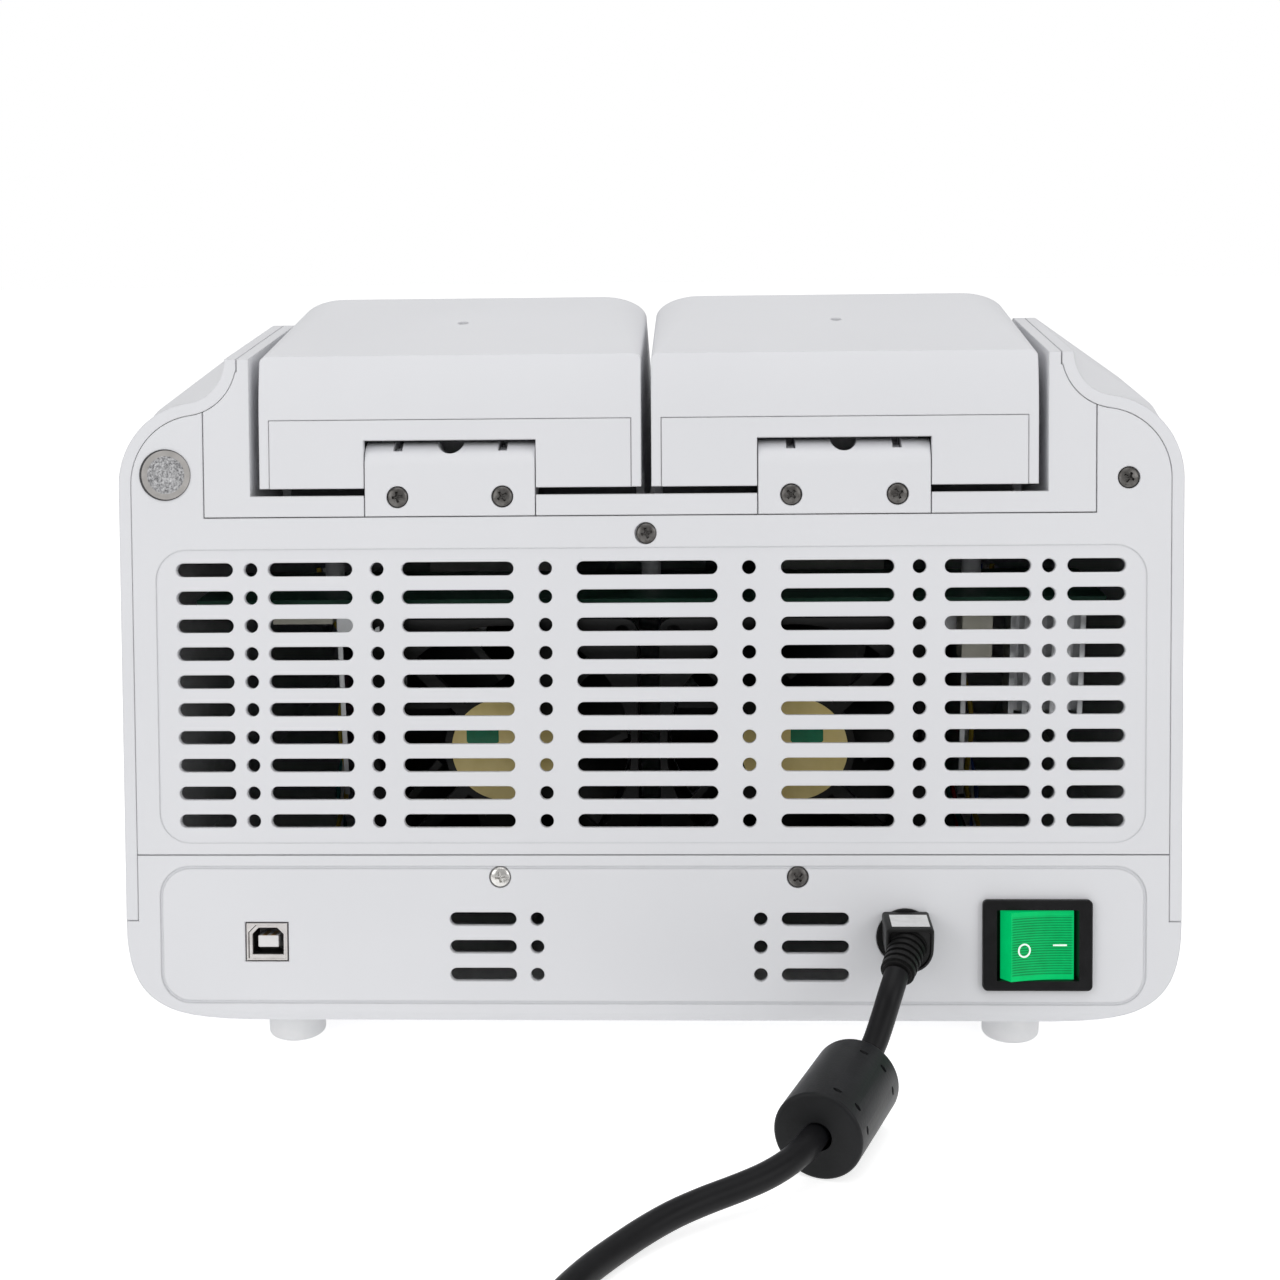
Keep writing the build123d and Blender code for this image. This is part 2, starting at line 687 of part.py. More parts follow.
def top_cover():
    """Ledges, channel and deck for the lids, with the rear apron."""
    half = PANEL_HALF
    apron = slab(APRON_S + SEAM, CREASE_S + 9, half)
    apron &= rear_box((-APRON_X + SEAM, APRON_X - SEAM), (APRON_S, CREASE_S + 9), (-1, 9))
    channel = (-CHANNEL_X, CHANNEL_X)
    low_deck = (DECK_Z - DECK, DECK_Z)
    shelf_low = HINGE_Z - TROUGH_R - DECK
    ledge = (CHANNEL_X, LEDGE_X - SEAM)
    wall_region = box_between(ledge, (DECK_FRONT_Y, REAR_Y), (low_deck[0], RIDGE_Z + 9))
    walls = both(OUTER_HALF & wall_region)
    deck = box_between(channel, (DECK_FRONT_Y, SHELF_FRONT_Y + DECK), low_deck)
    riser = box_between(channel, (SHELF_FRONT_Y, SHELF_FRONT_Y + DECK), (low_deck[0], shelf_low + DECK))
    shelf_rear = rear_point(APRON_S + SEAM, PANEL / 2)
    shelf = across(
        [
            (SHELF_FRONT_Y, shelf_low),
            (SHELF_FRONT_Y, shelf_low + 2 * DECK),
            (shelf_rear[0] - 7, shelf_low + 2 * DECK),
            rear_point(CREASE_S - 36, PANEL / 2),
            shelf_rear,
            (shelf_rear[0] - 1, shelf_low),
        ],
        channel,
    )
    room = across(
        [
            (SHELF_FRONT_Y - 1, shelf_low + DECK),
            (HINGE_Y, shelf_low + DECK),
            (HINGE_Y, CREASE_Z + 30),
            (SHELF_FRONT_Y - 1, CREASE_Z + 30),
        ],
        channel,
    )
    swing = bar_along_x(HINGE_Y, HINGE_Z, TROUGH_R, channel)
    above = rear_box(channel, (HINGE_S, CREASE_S + 9), (-1, 9))
    panel_room = rear_box((-HALF_WIDTH, HALF_WIDTH), (0, APRON_S + SEAM), (-1, PANEL + SEAM))
    cover = apron + walls + deck + riser + shelf - room - swing - above - panel_room
    for side in SIDES.values():
        x = side * LID_MID_X
        window = BLOCK_WINDOW / 2
        cover -= box_between((x - window, x + window), (BLOCK_Y - window, BLOCK_Y + window), (DECK_Z - 9, DECK_Z + 1))
        pocket = BRACKET_WIDE / 2 + NOTCH_GAP
        cover -= rear_box((x - pocket, x + pocket), (APRON_S - 1, CREASE_S), (-1, BRACKET_PLATE + SEAM))
    for x in (-100, 0, 100):
        zs = (FAN_BOARD_Z + BOARD, DECK_Z - DECK + 0.5)
        cover += Pos(x, FAN_BOARD_Y[0] + 2 * BOSS_R, sum(zs) / 2) * Cylinder(BOSS_R, zs[1] - zs[0])
    return cover - screw_holes()


def feet():
    """Four round pads under the base."""
    pads = []
    pad = Cylinder(FOOT_R, FOOT_HEIGHT, align=(Align.CENTER, Align.CENTER, Align.MIN))
    pad = fillet(pad.edges().group_by(Axis.Z)[0], 1.5)
    for x in (-FOOT_X, FOOT_X):
        for y in (REAR_Y - FOOT_INSET, FRONT_Y + FOOT_INSET + EDGE_ROUND):
            pads.append(Pos(x, y, 0) * pad)
    return Compound(children=pads)


def seal_disc():
    """Round seal stuck over the panel's edge screw."""
    return rear_cylinder(SEAL[0], SEAL[1], (-SEAL_THICK, 0), SEAL_R)


# Lids


def lid_top(y):
    """Height of the lid's top at a distance y."""
    if y >= RIDGE_Y:
        return LID_TOP_Z - (LID_TOP_Z - CREASE_Z) * (y - RIDGE_Y) / RIDGE_BACK
    return LID_TOP_Z - FRONT_SLOPE * (RIDGE_Y - y)


def lid_section(y, wide, high, inset):
    """Closed outline across one lid, with rounded top corners."""
    half = LID_HALF - inset
    top = lid_top(y) - inset
    low = LID_LOW_Z - 9
    wide = max(wide - inset, 0.3)
    high = max(high - inset, 0.3)

    def place(x, z):
        return Vector(x, y, z)

    round_weight = cos(radians(45))
    weights = [1, round_weight, 1]
    left = [place(-half, top - high), place(-half, top), place(-half + wide, top)]
    right = [place(half - wide, top), place(half, top), place(half, top - high)]
    edges = [
        Line(place(-half, low), left[0]),
        Bezier(*left, weights=weights),
        Line(left[2], right[0]),
        Bezier(*right, weights=weights),
        Line(right[2], place(half, low)),
        Line(place(half, low), place(-half, low)),
    ]
    return Wire(edges)


def lid_profile(inset):
    """Outline of a lid from the side, or of the space inside its walls."""
    turn = asin((CREASE_S - LID_CURVE_S + LID_WALL) / LID_CURVE_R)

    def curve(angle):
        radius = LID_CURVE_R - inset
        return rear_point(LID_CURVE_S + radius * sin(angle), LID_CURVE_R - radius * cos(angle))

    lows = (LID_LOW_Z, rear_point(LID_BOTTOM_S)[1])
    if inset:
        lows = (LID_LOW_Z - 9, LID_LOW_Z - 9)
    step_y = SHELF_FRONT_Y - LID_DECK_GAP
    slope_back = tan(radians(LEAN))
    corner_y, corner_z = rear_point(LID_BOTTOM_S, inset)
    corner_y -= (lows[1] - corner_z) * slope_back
    points = {
        "low": Vector(0, corner_y, lows[1]),
        "start": Vector(0, *curve(0)),
        "middle": Vector(0, *curve(turn / 2)),
        "end": Vector(0, *curve(turn)),
        "over": Vector(0, curve(turn)[0] - 9, RIDGE_Z + 2 * LID_PROUD),
        "front": Vector(0, LID_FRONT_Y + inset, RIDGE_Z + 2 * LID_PROUD),
        "foot": Vector(0, LID_FRONT_Y + inset, lows[0]),
        "step": Vector(0, step_y, lows[0]),
        "rise": Vector(0, step_y, lows[1]),
    }
    edges = [
        Line(points["low"], points["start"]),
        ThreePointArc(points["start"], points["middle"], points["end"]),
        Line(points["end"], points["over"]),
        Line(points["over"], points["front"]),
        Line(points["front"], points["foot"]),
        Line(points["foot"], points["step"]),
    ]
    if lows[0] != lows[1]:
        edges.append(Line(points["step"], points["rise"]))
        edges.append(Line(points["rise"], points["low"]))
    else:
        edges.append(Line(points["step"], points["low"]))
    return make_face(Wire(edges))


def lid_hull(inset):
    """Solid outer form of one lid, or the space inside it, centred on X."""
    stations = [
        (REAR_Y, LID_REAR_CORNER, LID_REAR_CORNER),
        (CREASE_Y, LID_REAR_CORNER, LID_REAR_CORNER),
        (RIDGE_Y, LID_CORNER_WIDE, LID_CORNER_HIGH),
        (LID_FRONT_Y - 1, LID_CORNER_HIGH, LID_CORNER_HIGH / 2),
    ]
    wires = [lid_section(y, wide, high, inset) for y, wide, high in stations]
    body = Solid.make_loft(wires, ruled=True)
    profile = Pos(-LID_HALF - 1, 0, 0) * lid_profile(inset)
    return body & extrude(profile, 2 * LID_HALF + 2, dir=(1, 0, 0))


LID_OUTER = lid_hull(0)
LID_INNER = lid_hull(LID_WALL)


def lid_shell():
    """Moulded lid, open below, with a window at the back for its hinge cover."""
    shell = LID_OUTER - LID_INNER
    half = LID_HALF - LID_COVER_EDGE
    shell -= rear_box((-half, half), (LID_BOTTOM_S - 9, LID_COVER_TOP_S), (-1, LID_WALL + 1))
    shell -= Pos(0, PIN_MARK_Y, lid_top(PIN_MARK_Y)) * Cylinder(VENT_PIN_HOLE / 2, 9)
    return shell


def lid_rear_cover():
    """Inset plate round the hinge bracket, flush with the lid's rear face."""
    half = LID_HALF - LID_COVER_EDGE - SEAM
    cover = rear_box((-half, half), (LID_BOTTOM_S, LID_COVER_TOP_S - SEAM), (0, LID_WALL))
    notch = BRACKET_WIDE / 2 + NOTCH_GAP
    return cover - rear_box((-notch, notch), (LID_BOTTOM_S - 1, NOTCH_TOP_S), (-1, LID_WALL + 1))


def lid_tray():
    """Plate that closes the lid from below, open round the heated plate."""
    half = LID_HALF - LID_WALL - TRAY_GAP
    front = LID_FRONT_Y + LID_WALL + TRAY_GAP
    back = SHELF_FRONT_Y - LID_DECK_GAP
    tray = box_between((-half, half), (front, back), (LID_LOW_Z, LID_LOW_Z + TRAY))
    tray += box_between((-half, half), (back - TRAY, back), (LID_LOW_Z, TRAY_WALL_Z))
    window = PLATE_SIZE / 2 + TRAY_HOLE_GAP
    return tray - box_between((-window, window), (BLOCK_Y - window, BLOCK_Y + window), (0, LID_LOW_Z + 9))


def lid_hinge_arms():
    """Two steel arms that carry the lid on the hinge pin."""
    back = SHELF_FRONT_Y - LID_DECK_GAP
    plate = box_between((-ARM_PLATE_HALF, ARM_PLATE_HALF), (back, back + EAR_THICK), (HINGE_Z - EAR_R, TRAY_WALL_Z))
    arms = [plate]
    for x in (-EAR_OFFSET, EAR_OFFSET):
        xs = (x - EAR_THICK / 2, x + EAR_THICK / 2)
        web = across(
            [
                (back + 1, HINGE_Z - EAR_R),
                (HINGE_Y, HINGE_Z - EAR_R),
                (HINGE_Y, HINGE_Z),
                (HINGE_Y - EAR_NECK, HINGE_Z + sqrt(EAR_R**2 - EAR_NECK**2)),
                (HINGE_Y - EAR_NECK, HINGE_Z + EAR_R),
                (back + 1, HINGE_Z + 2 * EAR_R),
            ],
            xs,
        )
        arms.append(web + bar_along_x(HINGE_Y, HINGE_Z, EAR_R, xs))
    bore = bar_along_x(HINGE_Y, HINGE_Z, PIN_R + PIN_CLEAR, (-LID_HALF, LID_HALF))
    return Part() + arms - bore


def hinge_bracket():
    """Fixed bracket with a round barrel, flush with the rear face."""
    half = BRACKET_WIDE / 2
    xs = (-half, half)
    plate = rear_box(xs, (APRON_S + SEAM, HINGE_S), (0, BRACKET_PLATE))
    barrel = bar_along_x(HINGE_Y, HINGE_Z, BARREL_R, xs)
    bracket = plate + barrel
    bracket -= bar_along_x(HINGE_Y, HINGE_Z, PIN_R + PIN_CLEAR, (-half - 1, half + 1))
    for x in (-EAR_OFFSET, EAR_OFFSET):
        wide = (x - EAR_THICK / 2 - EAR_GAP, x + EAR_THICK / 2 + EAR_GAP)
        bracket -= bar_along_x(HINGE_Y, HINGE_Z, EAR_R + EAR_GAP, wide)
        bracket -= rear_box(wide, (SLIT_S, CREASE_S), (-1, 2 * BARREL_R + 1))
        bracket -= rear_box(wide, (HINGE_S - 2 * BARREL_R, CREASE_S), (BARREL_R - EAR_R / 2, 2 * BARREL_R + 1))
    bracket -= rear_cylinder(0, NOTCH_TOP_S, (-1, 2 * BARREL_R + 1), CABLE_HOLE_R)
    return bracket


def hinge_pin():
    """Steel pin through the barrel and both arms."""
    half = BRACKET_WIDE / 2 - 1
    return bar_along_x(HINGE_Y, HINGE_Z, PIN_R, (-half, half))


def well_grid():
    """Centres of the sixteen wells of one block."""
    first = -(WELLS - 1) / 2 * WELL_PITCH
    return [(first + i * WELL_PITCH, first + j * WELL_PITCH) for i in range(WELLS) for j in range(WELLS)]


def heated_plate():
    """Sprung heated plate over the wells, with an optical hole for each."""
    half = PLATE_SIZE / 2
    flange_z = LID_LOW_Z + TRAY + SEAT_GAP - PLATE_LOW_Z
    rim = half + PLATE_RIM
    plate = box_between((-half, half), (-half, half), (0, PLATE_THICK))
    plate += box_between((-rim, rim), (-rim, rim), (flange_z, PLATE_THICK))
    for x, y in well_grid():
        plate -= Pos(x, y, 0) * Cylinder(PLATE_HOLE_R, 4 * PLATE_THICK)
    return Pos(0, BLOCK_Y, PLATE_LOW_Z) * plate


def optics_head():
    """Light and sensor block above the heated plate, on four posts of the tray."""
    reach = PLATE_SIZE / 2 + POST_OUT
    wide = 2 * reach + 2 * POST_R
    head = Pos(0, 0, OPTICS_LOW_Z + OPTICS_PLATE / 2) * Box(wide, wide, OPTICS_PLATE)
    head += Pos(0, 0, OPTICS_LOW_Z + OPTICS_HIGH / 2) * Box(PLATE_SIZE - 6, PLATE_SIZE - 6, OPTICS_HIGH)
    low = LID_LOW_Z + TRAY
    for x in (-reach, reach):
        for y in (-reach, reach):
            head += Pos(x, y, (low + OPTICS_LOW_Z) / 2) * Cylinder(POST_R, OPTICS_LOW_Z - low)
    return Pos(0, BLOCK_Y, 0) * head


def plate_springs():
    """Four coil springs between the heated plate and the optics head."""
    low = PLATE_LOW_Z + PLATE_THICK
    high = OPTICS_LOW_Z - low
    springs = []
    reach = PLATE_SIZE / 2 - SPRING_R - 2
    ring = Cylinder(SPRING_R, high) - Cylinder(SPRING_R - SPRING_WIRE, high)
    turns = (high - SPRING_WIRE) / SPRING_TURNS
    for turn in range(SPRING_TURNS):
        z = -high / 2 + SPRING_WIRE + (turn + 0.5) * turns
        ring -= Pos(SPRING_WIRE, 0, z) * Box(2 * SPRING_R, 4 * SPRING_R, turns - 2 * SPRING_WIRE)
    for x in (-reach, reach):
        for y in (-reach, reach):
            springs.append(Pos(x, BLOCK_Y + y, low + high / 2) * ring)
    return Compound(children=springs)


# Thermal modules


def sample_block():
    """Metal block of sixteen thin conical cups between two plates."""
    half = BLOCK_SIZE / 2
    top = box_between((-half, half), (-half, half), (BLOCK_TOP_Z - BLOCK_PLATE, BLOCK_TOP_Z))
    low_z = BLOCK_TOP_Z - WELL_DEEP - CUP_WALL
    base = box_between((-half, half), (-half, half), (low_z - BLOCK_PLATE, low_z + CUP_WALL / 2))
    block = top + base
    align = (Align.CENTER, Align.CENTER, Align.MAX)
    for x, y in well_grid():
        cup = Cone(WELL_FOOT_R + CUP_WALL, WELL_TOP_R + CUP_WALL, WELL_DEEP, align=align)
        block += Pos(x, y, BLOCK_TOP_Z - 1) * cup
    for x, y in well_grid():
        block -= Pos(x, y, BLOCK_TOP_Z) * Cone(WELL_FOOT_R, WELL_TOP_R, WELL_DEEP, align=align)
    return Pos(0, BLOCK_Y, 0) * block


def block_foot_z():
    """Lower face of the sample block."""
    return BLOCK_TOP_Z - WELL_DEEP - CUP_WALL - BLOCK_PLATE


def peltier():
    """Thermoelectric element clamped between the block and the heat sink."""
    half = BLOCK_SIZE / 2 - 2
    high = block_foot_z()
    return box_between((-half, half), (BLOCK_Y - half, BLOCK_Y + half), (high - PELTIER, high))


def heat_sink():
    """Finned sink that ends at the fan, with the block's element on top."""
    high = block_foot_z() - PELTIER
    back = FAN_BACK_Y - FAN_THICK - SINK_FAN_GAP
    half = SINK_WIDE / 2
    front = BLOCK_Y - half
    sink = box_between((-half, half), (front, back), (high - SINK_BASE, high))
    pitch = (SINK_WIDE - SINK_FIN) / (SINK_FINS - 1)
    low = high - SINK_DEEP
    for index in range(SINK_FINS):
        x = -half + index * pitch
        sink += box_between((x, x + SINK_FIN), (front, back), (low, high - SINK_BASE / 2))
    floor = BASE_Z + WALL + SEAT_GAP
    for x in (-half + SINK_FOOT_IN, half - SINK_FOOT_IN):
        foot = box_between((x - SINK_FOOT, x + SINK_FOOT), (front, front + 4 * SINK_FOOT), (floor, low + 1))
        sink += foot
        sink += Pos(0, back - front - 8 * SINK_FOOT, 0) * foot
    return sink


def fan_frame():
    """Square fan housing with its motor seat on four struts, facing the rear."""
    half = FAN_SIZE / 2
    frame = Box(FAN_SIZE, FAN_SIZE, FAN_THICK)
    frame = fillet(frame.edges().filter_by(Axis.Z), FAN_CORNER)
    frame -= Cylinder(FAN_BORE, FAN_THICK + 1)
    waist = Box(FAN_SIZE + 1, FAN_SIZE + 1, FAN_THICK - 2 * FAN_FLANGE)
    waist -= Cylinder(FAN_BORE + FAN_SKIN, FAN_THICK)
    frame -= waist
    outer = FAN_THICK / 2
    for x in (-1, 1):
        for y in (-1, 1):
            place = FAN_HOLES / 2
            frame -= Pos(x * place, y * place, 0) * Cylinder(FAN_HOLE_R, FAN_THICK + 1)
    seat = Pos(0, 0, outer - FAN_FLANGE / 2) * Cylinder(FAN_MOTOR_R, FAN_FLANGE)
    for angle in (45, 135, 225, 315):
        reach = FAN_BORE + 1 - FAN_MOTOR_R / 2
        strut = Box(reach, FAN_STRUT, FAN_FLANGE)
        seat += Rot(0, 0, angle) * Pos(FAN_MOTOR_R / 2 + reach / 2, 0, outer - FAN_FLANGE / 2) * strut
    tube = Pos(0, 0, outer - FAN_FLANGE - FAN_TUBE / 2) * Cylinder(2 * FAN_SHAFT_R, FAN_TUBE)
    bore = Pos(0, 0, outer - FAN_FLANGE - FAN_TUBE / 2) * Cylinder(FAN_SHAFT_R + PIN_CLEAR, FAN_TUBE)
    return fan_place() * (frame + seat + tube - bore)


def fan_place():
    """Location of a fan's middle, with its local z toward the rear."""
    return Pos(0, FAN_BACK_Y - FAN_THICK / 2, FAN_Z) * Rot(-90, 0, 0)


def fan_rotor():
    """Fan wheel: a cup on a shaft with seven pitched blades."""
    outer = FAN_THICK / 2 - FAN_FLANGE - FAN_TIP_GAP
    inner = -FAN_THICK / 2 + FAN_TIP_GAP
    middle = (outer + inner) / 2
    high = outer - inner
    cup = Pos(0, 0, middle) * Cylinder(FAN_HUB_R, high)
    cup -= Pos(0, 0, middle + FAN_BLADE) * Cylinder(FAN_HUB_R - FAN_BLADE, high)
    shaft_top = FAN_THICK / 2 - FAN_FLANGE - 0.5
    shaft = Pos(0, 0, (shaft_top + inner) / 2) * Cylinder(FAN_SHAFT_R, shaft_top - inner)
    limit = Pos(0, 0, middle) * Cylinder(FAN_BORE - FAN_TIP_GAP, high)
    limit -= Pos(0, 0, middle) * Cylinder(FAN_HUB_R - FAN_BLADE / 2, high + 1)
    long = FAN_BORE - FAN_HUB_R + FAN_TIP_GAP
    blade = Pos(FAN_HUB_R + long / 2 - FAN_TIP_GAP, 0, middle) * Rot(FAN_PITCH, 0, 0)
    blade = blade * Box(long, FAN_BLADE, 2 * high) & limit
    wheel = cup + shaft
    for index in range(FAN_BLADES):
        wheel += Rot(0, 0, index * 360 / FAN_BLADES) * blade
    return fan_place() * wheel


def fan_label():
    """Round label on the motor seat."""
    return fan_place() * Pos(0, 0, FAN_THICK / 2 + SEAL_THICK / 2) * Cylinder(FAN_LABEL_R, SEAL_THICK)


# Boards and wiring


def fan_board():
    """Flat board above the fans, seen edge-on through the top row of slots."""
    board = box_between((-FAN_BOARD_X, FAN_BOARD_X), FAN_BOARD_Y, (FAN_BOARD_Z, FAN_BOARD_Z + BOARD))
    return board


def board_parts():
    """Connector blocks and a finned cooler under the fan board."""
    parts = []
    for x, y, wide, deep, high in BOARD_BLOCKS:
        zs = (FAN_BOARD_Z - high, FAN_BOARD_Z)
        parts.append(box_between((x - wide / 2, x + wide / 2), (y - deep / 2, y + deep / 2), zs))
    return Compound(children=parts)


def board_cooler():
    """Upright finned cooler hanging from the fan board."""
    x, y, wide, deep, high = COOLER
    zs = (FAN_BOARD_Z - high, FAN_BOARD_Z)
    cooler = box_between((x - wide / 2, x + wide / 2), (y - deep / 2, y - deep / 2 + 3), zs)
    pitch = (wide - SINK_FIN) / (COOLER_FINS - 1)
    for index in range(COOLER_FINS):
        low = x - wide / 2 + index * pitch
        cooler += box_between((low, low + SINK_FIN), (y - deep / 2, y + deep / 2), zs)
    return cooler


def main_board():
    """Controller board on the posts of the base tray."""
    zs = (MAIN_BOARD_Z, MAIN_BOARD_Z + BOARD)
    return box_between((-MAIN_BOARD_X, MAIN_BOARD_X), MAIN_BOARD_Y, zs)


def tube_along(points, radius, bends):
    """Round tube along straight runs joined by arcs."""
    path = FilletPolyline(*points, radius=bends)
    start = Plane(origin=path @ 0, z_dir=path % 0)
    return sweep(start * Circle(radius), path=path)


def wire_bundle(side, start_x, start_y, count):
    """Loose wires from the fan board down to the main board."""
    wires = []
    for index in range(count):
        x = side * (start_x + index * WIRE_STEP)
        sway = WIRE_SWAY * (1 if index % 2 else -1)
        points = [
            (x, start_y, FAN_BOARD_Z - SEAM),
            (x, start_y, FAN_BOARD_Z - 14),
            (x + side * sway, start_y + 12 + sway, FAN_BOARD_Z - 34),
            (x + side * 4, start_y + 18, MAIN_BOARD_Z + 44),
            (x, start_y + sway, MAIN_BOARD_Z + 22),
            (x - side * 4, MAIN_BOARD_Y[1] - 6 * BOSS_R, MAIN_BOARD_Z + 14),
            (x - side * 4, MAIN_BOARD_Y[1] - 6 * BOSS_R, MAIN_BOARD_Z + BOARD + SEAM),
        ]
        wires.append(tube_along(points, WIRE_R, WIRE_BEND))
    return Compound(children=wires)


# Sockets and the switch


def usb_socket():
    """Square data socket with its shell and tongue, flush with the rear face."""
    half = (USB_WIDE / 2, USB_HIGH / 2)
    shell = rear_box((USB_X - half[0], USB_X + half[0]), (USB_S - half[1], USB_S + half[1]), (0, USB_DEEP))
    inner = (half[0] - USB_SHELL, half[1] - USB_SHELL)
    hollow = rear_box((USB_X - inner[0], USB_X + inner[0]), (USB_S - inner[1], USB_S + inner[1]), (-1, USB_DEEP - 2))
    corner = hollow.edges().filter_by(lambda e: abs(e.length - USB_DEEP + 1) < 0.01).group_by(Axis.Z)[-1]
    hollow = chamfer(corner, USB_CHAMFER)
    tongue_half = (USB_TONGUE[0] / 2, USB_TONGUE[1] / 2)
    tongue = rear_box(
        (USB_X - tongue_half[0], USB_X + tongue_half[0]),
        (USB_S - tongue_half[1], USB_S + tongue_half[1]),
        (1, USB_DEEP),
    )
    return shell - hollow + tongue


def switch_place(x, s, deep):
    """Location on the switch, measured from its middle."""
    return rear_plane(SWITCH_X + x, SWITCH_S + s, deep)


def switch_bezel():
    """Black snap-in frame of the switch with its housing."""
    flange = Box(SWITCH_WIDE, SWITCH_HIGH, SWITCH_FLANGE)
    flange = fillet(flange.edges().filter_by(Axis.Z), SWITCH_ROUND)
    flange = fillet(flange.faces().sort_by(Axis.Z)[-1].edges(), SWITCH_EDGE)
    wide = SWITCH_WIDE - 2 * SWITCH_CUT - 2 * SEAM
    high = SWITCH_HIGH - 2 * SWITCH_CUT - 2 * SEAM
    body = Pos(0, 0, -SWITCH_FLANGE / 2 - SWITCH_DEEP / 2) * Box(wide, high, SWITCH_DEEP)
    room = (ROCKER_WIDE + 2 * ROCKER_SIDE_GAP, ROCKER_HIGH + 2 * ROCKER_GAP)
    well_deep = SWITCH_FLANGE + ROCKER_WELL
    well = Pos(0, 0, SWITCH_FLANGE / 2 - well_deep / 2) * Box(room[0], room[1], well_deep)
    frame = flange + body - well
    pivot = Pos(0, 0, -SWITCH_FLANGE / 2 - ROCKER_PIVOT_DEPTH)
    holes = pivot * Rot(90, 0, 0) * Cylinder(ROCKER_PIN_R + PIN_CLEAR, room[1] + 2 * ROCKER_PIN)
    return rear_plane(SWITCH_X, SWITCH_S, -SWITCH_FLANGE / 2) * (frame - holes)


def switch_rocker():
    """Lit rocker, rounded between its two slopes, with a pin at each end."""
    half = ROCKER_WIDE / 2
    rest = ROCKER_SWING / 2
    stand = (ROCKER_STAND + ROCKER_FLUSH) / 2
    low = -ROCKER_PIVOT_DEPTH - ROCKER_PIN_R - 1
    dip = stand - half * ROCKER_DISH
    top = half - ROCKER_TAPER
    points = [(-half, low + 3), (-top, stand), (0, dip), (top, stand), (half, low + 3), (4, low), (-4, low)]
    face = make_face(Polyline(*[(x, z) for x, z in points], close=True))
    body = extrude(Plane.XZ * face, ROCKER_HIGH / 2, both=True)
    ends = ROCKER_HIGH + 2 * ROCKER_PIN - 2 * SEAM
    pin = Pos(0, 0, -ROCKER_PIVOT_DEPTH) * Rot(90, 0, 0) * Cylinder(ROCKER_PIN_R, ends)
    turn = Pos(0, 0, -ROCKER_PIVOT_DEPTH) * Rot(0, rest, 0) * Pos(0, 0, ROCKER_PIVOT_DEPTH)
    return rear_plane(SWITCH_X, SWITCH_S, 0) * turn * (body + pin)


def dc_jack():
    """Round supply socket in the lower rear wall."""
    jack = rear_cylinder(JACK_X, JACK_S, (-JACK_RIM, JACK_DEEP), JACK_R)
    return jack - rear_cylinder(JACK_X, JACK_S, (-JACK_RIM - 1, JACK_DEEP - 2), JACK_HOLE_R)


# Supply lead


def dc_plug():
    """Plug with a flat top and a round belly, its nose inside the socket."""
    middle = -(PLUG_GAP + JACK_RIM + PLUG_LONG / 2)
    belly = Circle(PLUG_WIDE / 2)
    head = Pos(0, PLUG_TOP / 2) * RectangleRounded(PLUG_WIDE, PLUG_TOP, 1)
    body = extrude(rear_plane(JACK_X, JACK_S, middle) * (belly + head), PLUG_LONG / 2, both=True)
    body = body.solid()
    nose = rear_cylinder(JACK_X, JACK_S, (middle, PLUG_NOSE - JACK_RIM), PLUG_NOSE_R)
    return body + nose


def strain_relief():
    """Tapered, ribbed sleeve where the lead leaves the plug."""
    start = Vector(*relief_points()[0])
    end = Vector(*relief_points()[1])
    long = (end - start).length
    pitch = long / RELIEF_RIBS
    profile = [(0, 0), (RELIEF_R[0], 0)]
    for index in range(RELIEF_RIBS):
        radius = RELIEF_R[0] + (RELIEF_R[1] - RELIEF_R[0]) * index / (RELIEF_RIBS - 1)
        z = index * pitch
        profile += [(radius, z + 0.1), (radius, z + 0.6 * pitch)]
        profile += [(radius - RELIEF_GROOVE, z + 0.6 * pitch), (radius - RELIEF_GROOVE, z + pitch)]
    profile += [(0, long)]
    sleeve = revolve(Plane.XZ * make_face(Polyline(*profile, close=True)), Axis.Z)
    return Plane(origin=start, z_dir=end - start) * sleeve


def relief_points():
    """Ends of the strain relief: on the plug's rear end and where the lead leaves it."""
    y, z = rear_point(JACK_S, -(PLUG_GAP + JACK_RIM + PLUG_LONG))
    return (JACK_X, y, z), CORD_ROUTE[0]


def route_bends(points):
    """Largest radius that the two runs beside each corner allow."""
    vectors = [Vector(*point) for point in points]
    bends = []
    for before, corner, after in zip(vectors, vectors[1:], vectors[2:]):
        into = corner - before
        out = after - corner
        turn = radians(into.get_angle(out))
        bends.append(0.45 * min(into.length, out.length) / tan(turn / 2))
    return bends


def supply_cord():
    """Round lead from the strain relief to its coil."""
    bends = route_bends(CORD_ROUTE)
    cord = tube_along(CORD_ROUTE, CORD_R, bends)
    length = FilletPolyline(*CORD_ROUTE, radius=bends).length
    print("cord radii", [round(bend, 1) for bend in bends])
    print("cord length", round(length, 1), "volume share", round(cord.volume / (length * pi * CORD_R**2), 4))
    return cord


def ferrite_bead():
    """Moulded bead round the lead, lying on the bench."""
    start = Vector(*FERRITE[0])
    end = Vector(*FERRITE[1])
    bead = Cylinder(FERRITE_R, (end - start).length)
    bead = fillet(bead.edges().filter_by(GeomType.CIRCLE), FERRITE_ROUND)
    bead -= Cylinder(CORD_R + FERRITE_CLEAR, 2 * FERRITE_R + (end - start).length)
    return Plane(origin=(start + end) / 2, z_dir=end - start) * bead


